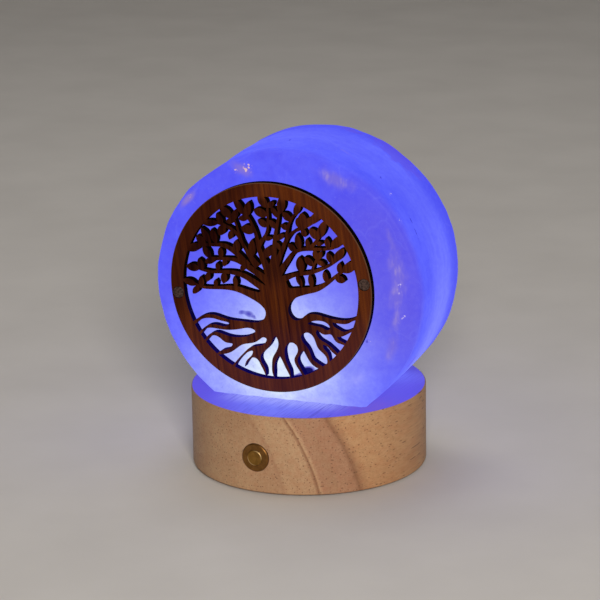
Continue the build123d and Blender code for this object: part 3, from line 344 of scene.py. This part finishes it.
# ===== Bottom cover and foam ==================================================
# The cover is one moulding in black plastic with a fine spark texture. The foot
# pad is closed-cell foam, stuck in the cover's seat, and the battery's two pads
# are strips of the same foam.
cover = Finish("cover_plastic", roughness=0.55)
cover.set(Base_Color=cover.mottled(9, 4, rgb(34, 34, 36), rgb(44, 44, 46)))
cover.bump(cover.noise(0.35, 2), 0.03)
cover.on("bottom_cover")

foam = Finish("foot_foam", roughness=0.95)
foam_cells = foam.cells(0.45)
foam.set(Base_Color=foam.mix(foam.step(foam_cells, 0.2, 0.5), rgb(24, 24, 25), rgb(48, 48, 50)))
foam.bump(foam_cells, 0.12)
foam.on("foot_pad", "battery_pads")

# ===== Screws =================================================================
# Zinc-plated steel, cold headed with rolled threads: three countersunk in the
# cover, two on the lamp board and four pan heads on the control board.
steel = Finish("screw_steel", roughness=0.28, metallic=1.0)
steel.set(Base_Color=steel.mottled(1.6, 4, rgb(168, 168, 172), rgb(198, 198, 200), 0.35))
steel.bump(steel.noise(0.12, 2), 0.004)
steel.on("cover_screws", "led_board_screws", "board_screws")

# ===== Light: window, lamp board and lamps ====================================
# A frosted plastic window set flush in the base's top, over a white round
# board with six lamps soldered to it. All of them are lit blue.
window = Finish("frosted_window", roughness=0.6)
window.set(Base_Color=window.mottled(5, 4, rgb(150, 155, 190), rgb(170, 175, 205)))
dome_height = window.along(upward, (0, 0, base_height))
window_glow = window.mix(window.step(dome_height, -0.5, 13.0), rgb(118, 130, 255), rgb(214, 226, 255))
frost = window.step(window.noise(3.5, 4), 0.35, 0.7, 0.0, 0.35)
window_glow = window.mix(frost, window_glow, rgb(150, 160, 255))
window.set(Emission_Color=window_glow, Emission_Strength=0.72)
window.bump(window.noise(0.5, 3), 0.02)
window.on("light_window")

lamp_board = Finish("lamp_board", roughness=0.4)
mask_patches = lamp_board.step(lamp_board.cells(7.5), 0.42, 0.44)
lamp_board.set(Base_Color=lamp_board.mix(mask_patches, rgb(232, 233, 230), rgb(205, 206, 202)))
lamp_board.bump(lamp_board.noise(0.6, 3), 0.01)
lamp_board.on("led_board")

lamps = Finish("lamp_lens", roughness=0.25)
lens_top = lamps.step(lamps.facing(upward), 0.5, 0.9)
lens_clouds = lamps.step(lamps.noise(1.2, 2), 0.4, 0.6)
lamps.set(Base_Color=lamps.mix(lens_clouds, rgb(236, 236, 228), rgb(222, 222, 214)))
lamps.set(Emission_Color=rgb(150, 165, 255), Emission_Strength=lamps.product(lens_top, 2.0))
lamps.on("leds")

# ===== Control board, its parts and the switch board ==========================
# Two circuit boards with green solder mask over copper tracks. Black chips and
# white lead headers are soldered to them, and the push switch to the upright one.
circuit = Finish("circuit_board", roughness=0.35)
tracks = circuit.cells(2.2, (1, 1, 0.05), feature="DISTANCE_TO_EDGE")
circuit.set(Base_Color=circuit.mix(circuit.step(tracks, 0.05, 0.09), rgb(34, 106, 62), rgb(16, 74, 44)))
circuit.bump(circuit.step(tracks, 0.05, 0.09, 1.0, 0.0), 0.03)
circuit.on("control_board", "switch_board")

chips = Finish("black_components", roughness=0.5)
chips.set(Base_Color=chips.mottled(0.8, 4, rgb(26, 26, 27), rgb(42, 42, 43), 0.35))
chips.bump(chips.noise(0.2, 2), 0.01)
chips.on("board_components", "tact_switch")

headers = Finish("white_headers", roughness=0.45)
headers.set(Base_Color=headers.mottled(1.5, 3, rgb(222, 217, 203), rgb(232, 228, 216)))
headers.bump(headers.noise(0.3, 2), 0.01)
headers.on("lead_headers", "switch_plunger")

# ===== Charging socket ========================================================
# A stainless shell, rolled and drawn, with its tongue inside. It is soldered to
# the control board and opens at the back of the base.
socket = Finish("socket_steel", roughness=0.24, metallic=1.0)
socket.set(Base_Color=socket.mottled(0.9, 3, rgb(170, 170, 172), rgb(200, 200, 202), stretch=(1, 0.2, 1)))
socket.bump(socket.noise(0.15, 2, (1, 0.1, 1)), 0.004)
socket.on("usb_socket")

# ===== Battery and leads ======================================================
# A rechargeable cell in a blue shrink sleeve, with bare steel ends, lies on the
# foam pads. The leads are stranded wires in red sleeves, soldered at both ends.
cell = Finish("cell_wrap", roughness=0.32)
cell_end = cell.step(cell.math("ABSOLUTE", cell.along((1, 0, 0))), 31.3, 31.6)
cell_tone = cell.mottled(10, 3, rgb(28, 78, 150), rgb(34, 88, 164))
cell.set(Base_Color=cell.mix(cell_end, cell_tone, rgb(190, 190, 192)), Metallic=cell_end)
cell.bump(cell.noise(2.5, 3, (0.3, 1, 1)), 0.03)
cell.on("battery_cell")

sleeve = Finish("lead_sleeve", roughness=0.4)
sleeve.set(Base_Color=sleeve.mottled(3, 3, rgb(150, 26, 24), rgb(172, 36, 30)))
sleeve.bump(sleeve.noise(0.4, 2), 0.01)
sleeve.on("battery_leads", "led_leads", "switch_leads")

# ===== Button =================================================================
# A turned, bronze-coloured ring pushed into the wood, with a dished cap of the
# same metal that slides inside it. The cap's edge carries a painted highlight on two
# opposite diagonal sides.
button_place = (0.0, 0.0, 15.9)
rim_in, rim_out = 2.75, 3.32


def bronze(name, tone, worn):
    """Bronze-coloured metal, turned, so fine marks run round the button's axis."""
    made = Finish(name, roughness=0.36, metallic=0.8)
    flat = made.vector("MULTIPLY", made.away(button_place), (1.0, 0.0, 1.0))
    reach = made.math("MULTIPLY", made.vector("LENGTH", flat), 1 / MM)
    turning_marks = made.math("SINE", made.product(reach, 34.0))
    tone = made.mix(made.step(made.noise(1.8, 4), 0.35, 0.7), tone, worn)
    diagonal = made.math("ABSOLUTE", made.math("DIVIDE", made.along((0.7, 0.0, 0.7), button_place), reach))
    # a painted highlight on the cap's edge, brightest on two opposite diagonal sides
    on_rim = made.product(made.step(reach, rim_in, 3.0), made.step(reach, rim_out, 3.28))
    painted_glint = made.product(on_rim, made.step(diagonal, 0.45, 0.95), 0.8)
    made.set(Base_Color=made.mix(painted_glint, tone, rgb(216, 180, 124)))
    made.set(Roughness=made.step(made.noise(0.5, 3), 0.3, 0.7, 0.3, 0.46))
    made.bump(made.math("ADD", made.product(turning_marks, 0.3), made.noise(0.4, 3)), 0.006)
    return made


bronze("bronze_bezel", rgb(116, 78, 34), rgb(134, 92, 44)).on("button_bezel")
bronze("bronze_cap", rgb(132, 94, 36), rgb(152, 110, 48)).on("button_cap")

# ===== Salt block =============================================================
# A thick disc of rock salt, ground and polished, its rims rounded and flaked,
# which stands loose over the window. The lamps shine up its drilled pocket;
# their light in the salt is painted as a glow: white near them, blue further off.
block_middle = (1.0, 0.0, 81.7)
glow_middle = (-0.8, -26.0, 48.1)
glow_reach, glow_depth, glow_falloff = 26.8, 0.7, 1.68
lamp_white = rgb(228, 242, 252)

salt = Finish("rock_salt", roughness=0.55)
salt.set(Specular_IOR_Level=0.12)
salt_place = salt.warped(6.0, 14)
behind = salt.along(tuple(-value for value in block_out), face_point)
rightward = salt.along(block_right)
height = salt.along(upward)
clouds = salt.noise(11, 6, place=salt_place)
mottle = salt.noise(2.6, 5, place=salt_place)
specks = salt.noise(0.9, 3)

# how white the lamps' light is: a glow low on the face, longer front to back, and two fainter patches
glow_scale = tuple(value / (glow_reach * MM) for value in (1, glow_depth, 1))
from_glow = salt.vector("MULTIPLY", salt.away(glow_middle), glow_scale)
distance = salt.math("POWER", salt.vector("LENGTH", from_glow), glow_falloff)
whiteness = salt.math("EXPONENT", salt.product(distance, -1.0))
whiteness = salt.math("ADD", whiteness, spot(salt, (3.0, -26.5, 75.4), 22, 0.14))
whiteness = salt.math("ADD", whiteness, spot(salt, (-35.0, -30.0, 45.0), 12, 0.08))
whiteness = salt.product(whiteness, salt.step(clouds, 0.3, 0.7, 0.88, 1.16))

# the painted blue glow further from the lamps: more violet on the face, clearer on the rim, banded and
# darker towards the back
rim_clouds = salt.step(salt.noise(26, 4, place=salt_place), 0.35, 0.65)
deep_rim = salt.mix(rim_clouds, rgb(84, 91, 244), rgb(94, 103, 253))
band = salt.product(
    salt.step(behind, 13, 31), salt.step(behind, 52, 38), salt.step(height, 122, 62, 0.25, 1.0))
deep_rim = salt.mix(band, deep_rim, rgb(119, 128, 255))
deep_rim = salt.mix(salt.step(behind, 42, 55, 0.0, 0.75), deep_rim, rgb(76, 80, 235))
violet = salt.product(salt.step(rightward, 5, 40), salt.step(height, 140, 110), salt.step(height, 40, 70))
violet = salt.product(violet, salt.step(clouds, 0.3, 0.7, 0.6, 1.15))
deep_face = salt.mix(salt.step(clouds, 0.35, 0.65), rgb(87, 86, 238), rgb(93, 95, 246))
deep_face = salt.mix(violet, deep_face, rgb(99, 88, 224))
on_face = salt.step(salt.math("ADD", behind, salt.product(clouds, 7.0)), 12.5, 1.0)
deep = salt.mix(on_face, deep_rim, deep_face)
deep = salt.mix(salt.step(whiteness, 0.0, 0.14), deep, rgb(4, 6, 76), "ADD")
salt_tone = salt.mix(salt.math("MINIMUM", whiteness, 1.0), deep, lamp_white)

# crystals, coarse and fine, and the faint marks that the saw left
crystal_shade = rgb(242, 241, 254)
salt_tone = salt.mix(salt.step(mottle, 0.35, 0.65, 0.0, 0.8), salt_tone, crystal_shade, "MULTIPLY")
salt_tone = salt.mix(salt.step(specks, 0.35, 0.7, 0.0, 0.7), salt_tone, crystal_shade, "MULTIPLY")
salt_tone = salt.mix(salt.step(specks, 0.55, 0.8, 0.0, 0.2), salt_tone, rgb(140, 142, 255))
saw_marks = salt.step(salt.noise(3.4, 3, (0.12, 1, 0.12), salt.warped(3.0, 22)), 0.35, 0.65, 0.0, 0.5)
salt_tone = salt.mix(saw_marks, salt_tone, rgb(238, 238, 253), "MULTIPLY")

# marks and shade, painted on the mesh below: pale veins and frost, dark smudges, bright chips, and painted
# shade on the rim's flaked facets
marks_and_shade = salt.nodes.new("ShaderNodeAttribute")
marks_and_shade.attribute_name = "marks_and_shade"
channels = salt.nodes.new("ShaderNodeSeparateColor")
salt.put(channels.inputs[0], marks_and_shade.outputs["Color"])
pale_flaw, dark_marks_and_shadow, chip_flaw = channels.outputs[0], channels.outputs[1], channels.outputs[2]
facet_shade = marks_and_shade.outputs["Alpha"]
shaken = salt.math("SUBTRACT", mottle, 0.5)
haze = salt.math("SUBTRACT", salt.noise(4.0, 4, (1, 1, 0.5), salt_place), 0.5)
vein_grain = salt.noise(1.9, 4, (1, 1, 0.35), salt_place)

# painted shade on the rim's flaked facets: a darker violet where the facet channel is painted
facet_mask = salt.step(salt.math("ADD", facet_shade, salt.product(haze, 1.2)), 0.4, 0.72)
salt_tone = salt.mix(salt.product(facet_mask, 0.45), salt_tone, rgb(92, 72, 214))
cracks = salt.step(salt.cells(21, place=salt.warped(9, 10), feature="DISTANCE_TO_EDGE"), 0.028, 0.0)
crack_breaks = salt.step(salt.noise(13, 2), 0.48, 0.62)
salt_tone = salt.mix(salt.product(cracks, crack_breaks, 0.09), salt_tone, rgb(136, 140, 252))

pale_mask = salt.step(salt.math("ADD", pale_flaw, salt.product(haze, 0.7)), 0.1, 1.05)
pale_tone = salt.mix(salt.step(vein_grain, 0.38, 0.7), rgb(116, 104, 216), rgb(154, 136, 206))
pale_tone = salt.mix(salt.step(rightward, 0, -12), pale_tone, rgb(142, 120, 192))
pale_tone = salt.mix(salt.step(whiteness, 0.05, 0.25), pale_tone, rgb(172, 174, 252))
salt_tone = salt.mix(salt.product(pale_mask, 0.85), salt_tone, pale_tone)

dark_mask = salt.step(salt.math("ADD", dark_marks_and_shadow, salt.product(shaken, 0.7)), 0.3, 0.6)
dark_mask = salt.product(dark_mask, salt.math("MINIMUM", dark_marks_and_shadow, 1.0))
salt_tone = salt.mix(dark_mask, salt_tone, rgb(112, 96, 190), "MULTIPLY")
# where a dark mark is strongest, a painted shadow of a chip in the salt, nearly black navy
painted_notch_shadow = salt.step(salt.math("ADD", dark_marks_and_shadow, shaken), 1.1, 1.3)
salt_tone = salt.mix(painted_notch_shadow, salt_tone, rgb(8, 6, 84))

chip_crystals = salt.step(salt.cells(1.3, place=salt_place), 0.42, 0.3)
chip_mask = salt.product(salt.step(chip_flaw, 0.2, 0.6), chip_crystals)
chip_tone = salt.mix(salt.step(rightward, -10, 10), rgb(232, 192, 184), rgb(196, 182, 236))
salt_tone = salt.mix(salt.product(chip_mask, 0.85), salt_tone, chip_tone)
# the salt's own colour is nearly black, so all its colour is the painted glow above
salt.set(Base_Color=rgb(8, 8, 22), Emission_Color=salt_tone, Emission_Strength=1.04)
salt.bump(salt.math("ADD", salt.noise(3.5, 5), salt.product(pale_mask, 0.4)), 0.12)

# the CAD block, remeshed finely so that its rims and flakes can be roughened
rough = bpy.data.objects.new("salt_rough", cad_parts["salt_block"].data.copy())
scene.collection.objects.link(rough)
remesh = rough.modifiers.new("even", "REMESH")
remesh.mode = "VOXEL"
remesh.voxel_size = 0.8 * MM
block_mesh = bpy.data.meshes.new_from_object(rough.evaluated_get(bpy.context.evaluated_depsgraph_get()))
bpy.data.objects.remove(rough)
count = len(block_mesh.vertices)
points, normals = np.empty(count * 3), np.empty(count * 3)
block_mesh.vertices.foreach_get("co", points)
block_mesh.vertices.foreach_get("normal", normals)
points, normals = points.reshape(-1, 3) / MM, normals.reshape(-1, 3)
out, right = np.array(block_out), np.array(block_right)
block_radius, block_depth, block_skew, front_round, back_round = 58.5, 61.3, -2.2, 2.2, 6.5
rim_start, rim_gap = 52, 0.3


def in_block(spots):
    """Depth behind the face, distance across and up from the middle, radius and angle of points."""
    depths = face_forward - spots @ out
    across = spots @ right - block_middle[0] - block_skew * depths / block_depth
    up = spots[:, 2] - block_middle[2]
    return depths, across, up, np.hypot(across, up), np.degrees(np.arctan2(up, across))


# where flakes leave flats on the solid's rim, they are filled out to nearly the full round, but
# little at the upper left, where the photograph shows them
depth, across, up, radius, angle = in_block(points)
front, back = np.clip(depth, 0, front_round), np.clip(block_depth - depth, 0, back_round)
full = block_radius - front_round + np.sqrt(front * (2 * front_round - front))
full = np.minimum(full, block_radius - back_round + np.sqrt(back * (2 * back_round - back)))
on_rim = (radius > rim_start) & (depth > rim_gap) & (depth < block_depth - rim_gap)
filled = np.interp(angle, (-180, -40, 104, 122, 180), (0.9, 0.9, 0.9, 0.3, 0.3))
filled = filled * np.clip(full - radius, 0, 3) * on_rim
radial = (across[:, None] * right + up[:, None] * np.array(upward)) / np.maximum(radius, 1)[:, None]
points += radial * filled[:, None]

# lumps sink the rim a little, then the face and the sawn underside are made flat again
big_lump, small_lump, lump_depth, flat_gap = 13, 4.5, 0.6, 0.25
skin = np.clip((radius - rim_start) / 4, 0, 1)
under = np.clip((points[:, 2] - base_height - 0.3) / 2.0, 0, 1)
lumps = np.array([
    noise.noise(Vector(p) / big_lump) + 0.5 * noise.noise(Vector(p) / small_lump) for p in points])
sunk = skin * under * np.clip(0.26 + 0.5 * lumps, 0, 0.8) * lump_depth
points -= normals * sunk[:, None]
flat_face = (depth < flat_gap) & (radius < 55)
points[flat_face] -= out * (points[flat_face] @ out - face_forward)[:, None]
flat_under = points[:, 2] < base_height + flat_gap
points[flat_under, 2] = base_height

# marks and painted shade of the face: kind, then across, up, half length and half width in
# millimetres, tilt in degrees, strength; the strongest dark ones also carry a painted shadow
PALE, DARK, CHIP, FACET = 0, 1, 2, 3
face_marks_and_shade = (
    (PALE, -18.5, 50.0, 6.0, 2.6, -25, 0.8), (CHIP, -15.8, 50.6, 2.0, 2.2, 0, 1.0),
    (CHIP, -21.4, 48.9, 1.3, 0.8, 40, 0.8), (PALE, -43.4, 35.0, 5.0, 1.7, 45, 1.0),
    (CHIP, -42.2, 36.8, 1.0, 0.7, 45, 0.8), (PALE, 22.4, 48.4, 8.0, 3.0, -22, 1.1),
    (CHIP, 27.8, 49.0, 1.0, 0.6, 10, 0.9), (PALE, 46.4, 24.0, 6.5, 1.2, -70, 0.8),
    (PALE, 48.6, 12.0, 11.0, 3.8, -82, 0.95), (PALE, 48.5, 2.0, 8.0, 3.4, -95, 0.9),
    (CHIP, 49.8, 5.2, 2.6, 1.0, -95, 1.0), (PALE, 48.0, -8.5, 8.0, 2.8, -100, 0.75),
    (CHIP, 51.4, -6.9, 1.5, 0.5, 60, 1.0), (CHIP, 49.6, -8.8, 1.3, 1.1, 0, 0.7),
    (PALE, 46.4, -19.5, 7.0, 2.6, -108, 0.85), (CHIP, 36.7, -17.9, 0.9, 0.7, 0, 1.0),
    (DARK, 35.4, -18.6, 0.9, 0.7, 0, 0.9), (DARK, -19.8, -11.2, 1.6, 1.1, 10, 0.95),
    (DARK, -16.8, -11.6, 2.4, 1.5, -12, 1.0), (DARK, -14.6, -12.6, 1.8, 1.0, -35, 0.9),
    (DARK, -15.4, -34.2, 0.6, 1.6, 10, 0.6), (DARK, -12.9, -37.6, 0.6, 1.4, -15, 0.55),
    (DARK, 9.2, -34.0, 2.6, 1.7, 15, 2.7), (DARK, 4.6, -36.4, 2.4, 0.7, 20, 1.6),
    (PALE, 19.0, -42.5, 10.0, 3.6, 20, 0.2), (PALE, 31.0, -35.0, 7.0, 3.6, 35, 0.45),
    (DARK, -29.7, -44.9, 1.0, 0.6, 0, 0.7), (PALE, 12.0, -46.0, 9.0, 1.2, 0, 0.6),
    (DARK, 36.0, 20.0, 1.2, 0.9, 0, 0.4), (DARK, 29.0, -9.0, 1.0, 0.7, 0, 0.5),
)
# and of the rim: kind, angle round the block, depth behind the face, then as above
rim_marks_and_shade = (
    (DARK, 52, 18.6, 1.2, 0.6, 20, 1.0), (CHIP, 44, 13.4, 1.4, 0.6, 10, 0.9),
    (CHIP, 34, 4.6, 1.7, 0.6, -30, 0.9), (DARK, 31, 15.4, 3.2, 0.5, 75, 0.9),
    (DARK, 25, 14.0, 4.4, 0.5, 80, 0.8), (DARK, 95, 22.3, 1.9, 0.6, 10, 1.0),
    (DARK, 92, 3.0, 1.3, 0.5, 0, 0.8), (FACET, 56, 54.0, 17.0, 13.0, 78, 1.0),
    (FACET, 78, 52.0, 7.0, 4.0, 80, 0.8), (FACET, -32, 18.0, 12.0, 3.0, 10, 0.8),
    (DARK, 12, 9.0, 6.0, 0.5, 85, 0.5), (PALE, 68, 20.0, 9.0, 1.0, 60, 0.5),
    (PALE, 100, 9.0, 11.0, 0.8, 85, 0.5), (DARK, 118, 26.0, 2.4, 0.5, 30, 0.8),
    (DARK, 160, 30.0, 3.0, 0.6, 50, 0.8), (PALE, 205, 34.0, 10.0, 3.0, 70, 0.7),
    (CHIP, 176, 14.0, 1.8, 0.8, 30, 0.8), (FACET, 140, 50.0, 12.0, 6.0, 80, 0.8),
)
depth, across, up, radius, angle = in_block(points)
marks_and_shade_values = np.zeros((count, 4))


def paint(kind, first, second, long_half, wide_half, tilt, strength, where):
    """Adds one soft oval mark or patch of painted shade, given how far each point is from its middle both
    ways.
    """
    turn = math.radians(tilt)
    lengthwise = first * math.cos(turn) + second * math.sin(turn)
    crosswise = second * math.cos(turn) - first * math.sin(turn)
    oval = strength * np.exp(-((lengthwise / long_half) ** 2 + (crosswise / wide_half) ** 2)) * where
    marks_and_shade_values[:, kind] = np.maximum(marks_and_shade_values[:, kind], oval)


for kind, flaw_across, flaw_up, *shape in face_marks_and_shade:
    paint(kind, across - flaw_across, up - flaw_up, *shape, depth < 1.6)
for kind, flaw_angle, flaw_depth, *shape in rim_marks_and_shade:
    round_gap = np.radians((angle - flaw_angle + 180) % 360 - 180) * block_radius
    paint(kind, depth - flaw_depth, round_gap, *shape, (radius > rim_start) & (depth < block_depth - 0.5))
flaw_layer = block_mesh.color_attributes.new("marks_and_shade", "FLOAT_COLOR", "POINT")
flaw_layer.data.foreach_set("color", marks_and_shade_values.ravel())
block_mesh.vertices.foreach_set("co", (points * MM).ravel())
block_mesh.polygons.foreach_set("use_smooth", [True] * len(block_mesh.polygons))
block_mesh.materials.clear()
block_mesh.materials.append(salt.material)
block_mesh.update()
salt_piece = bpy.data.objects.new("salt_crystal", block_mesh)
scene.collection.objects.link(salt_piece)
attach(salt_piece, "salt")
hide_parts("salt_block")

# ===== Magnets ================================================================
# Nickel-plated discs, dulled by handling. Two are pressed through the panel's
# ring, and two are glued in the block's face behind them.
nickel = Finish("magnet_nickel", roughness=0.5, metallic=0.7)
tarnish = nickel.step(nickel.noise(0.9, 5), 0.35, 0.65)
nickel.set(Base_Color=nickel.mix(tarnish, rgb(52, 38, 33), rgb(96, 74, 66)))
nickel.bump(nickel.noise(0.5, 4), 0.05)
nickel.on("salt_magnets", "panel_magnets")

# ===== Tree panel =============================================================
# A thin board faced with reddish veneer, its tree cut through by laser. Both
# faces are sanded and oiled, and the cut walls are charred black. It hangs on
# the block by its magnets, turned a little.
walnut = Finish("panel_wood", roughness=0.5)
panel_turn = math.radians(7.1)
panel_middle = (-2.3, -27.0, 82.8)
panel_right = Vector(block_right) * math.cos(panel_turn) + Vector((0, 0, math.sin(panel_turn)))
panel_up = Vector((0, 0, math.cos(panel_turn))) - Vector(block_right) * math.sin(panel_turn)
panel_x = walnut.along(tuple(panel_right), panel_middle)
panel_y = walnut.along(tuple(panel_up), panel_middle)
panel_reach = walnut.math("SQRT", walnut.math(
    "ADD", walnut.product(panel_x, panel_x), walnut.product(panel_y, panel_y)))
tree_mask = walnut.step(panel_reach, 39.5, 36.5)

# the grain runs up the panel, fine and long, and is calmer on the ring
grain_stretch = 0.045
grain = walnut.nodes.new("ShaderNodeCombineXYZ")
walnut.put(grain.inputs["X"], panel_x)
walnut.put(grain.inputs["Y"], walnut.product(panel_y, grain_stretch))
grain_place = walnut.vector("MULTIPLY", grain.outputs[0], (MM, MM, MM))
streaks = walnut.noise(1.3, 5, place=grain_place)
broad = walnut.step(walnut.noise(9, 3, place=grain_place), 0.35, 0.65, 0.0, 0.8)
veneer = walnut.ramp(
    streaks, (0.3, rgb(46, 18, 14)), (0.44, rgb(79, 36, 20)),
    (0.6, rgb(98, 48, 19)), (0.78, rgb(114, 61, 22)))
veneer = walnut.mix(broad, veneer, rgb(206, 186, 190), "MULTIPLY")
ring_calm = walnut.product(walnut.math("SUBTRACT", 1.0, tree_mask), 0.35)
veneer = walnut.mix(ring_calm, veneer, rgb(90, 43, 20))

# it is darker in the tree and most of all in its crown, with painted shade at the upper left and a painted
# blue glow added below
crown_mask = walnut.product(tree_mask, walnut.step(panel_y, -2, 8), walnut.step(panel_x, 28, 8))
to_upper_left = walnut.math("SUBTRACT", walnut.product(panel_y, 0.6), walnut.product(panel_x, 0.8))
veneer = walnut.mix(tree_mask, veneer, rgb(228, 226, 240), "MULTIPLY")
veneer = walnut.mix(crown_mask, veneer, rgb(204, 204, 224), "MULTIPLY")
veneer = walnut.mix(walnut.step(to_upper_left, 22, 34), veneer, rgb(190, 185, 215), "MULTIPLY")
veneer = walnut.mix(walnut.step(panel_y, -6, -30), veneer, rgb(0, 2, 24), "ADD")

# veneer on both faces, char in the cuts, and a painted highlight on the rounded front edges
facing_out = walnut.facing(block_out)
face_mask = walnut.step(walnut.math("ABSOLUTE", facing_out), 0.86, 0.95)
edge_highlight_mask = walnut.product(walnut.step(facing_out, 0.4, 0.6), walnut.math("SUBTRACT", 1.0, face_mask))
char = walnut.mix(walnut.step(streaks, 0.4, 0.6), rgb(9, 5, 4), rgb(20, 11, 8))
panel_tone = walnut.mix(face_mask, char, veneer)
panel_tone = walnut.mix(edge_highlight_mask, panel_tone, rgb(92, 62, 44))
walnut.set(Base_Color=panel_tone, Specular_IOR_Level=0.0)
# close to the lamps the salt's light on the charred walls is painted as a blue glow
char_glow = walnut.product(walnut.step(facing_out, 0.5, 0.2), walnut.step(walnut.along(upward), 84, 50))
walnut.set(Emission_Color=rgb(6, 4, 110), Emission_Strength=walnut.product(char_glow, 0.5))
walnut.bump(walnut.product(streaks, face_mask), 0.09)
walnut.on("tree_panel")
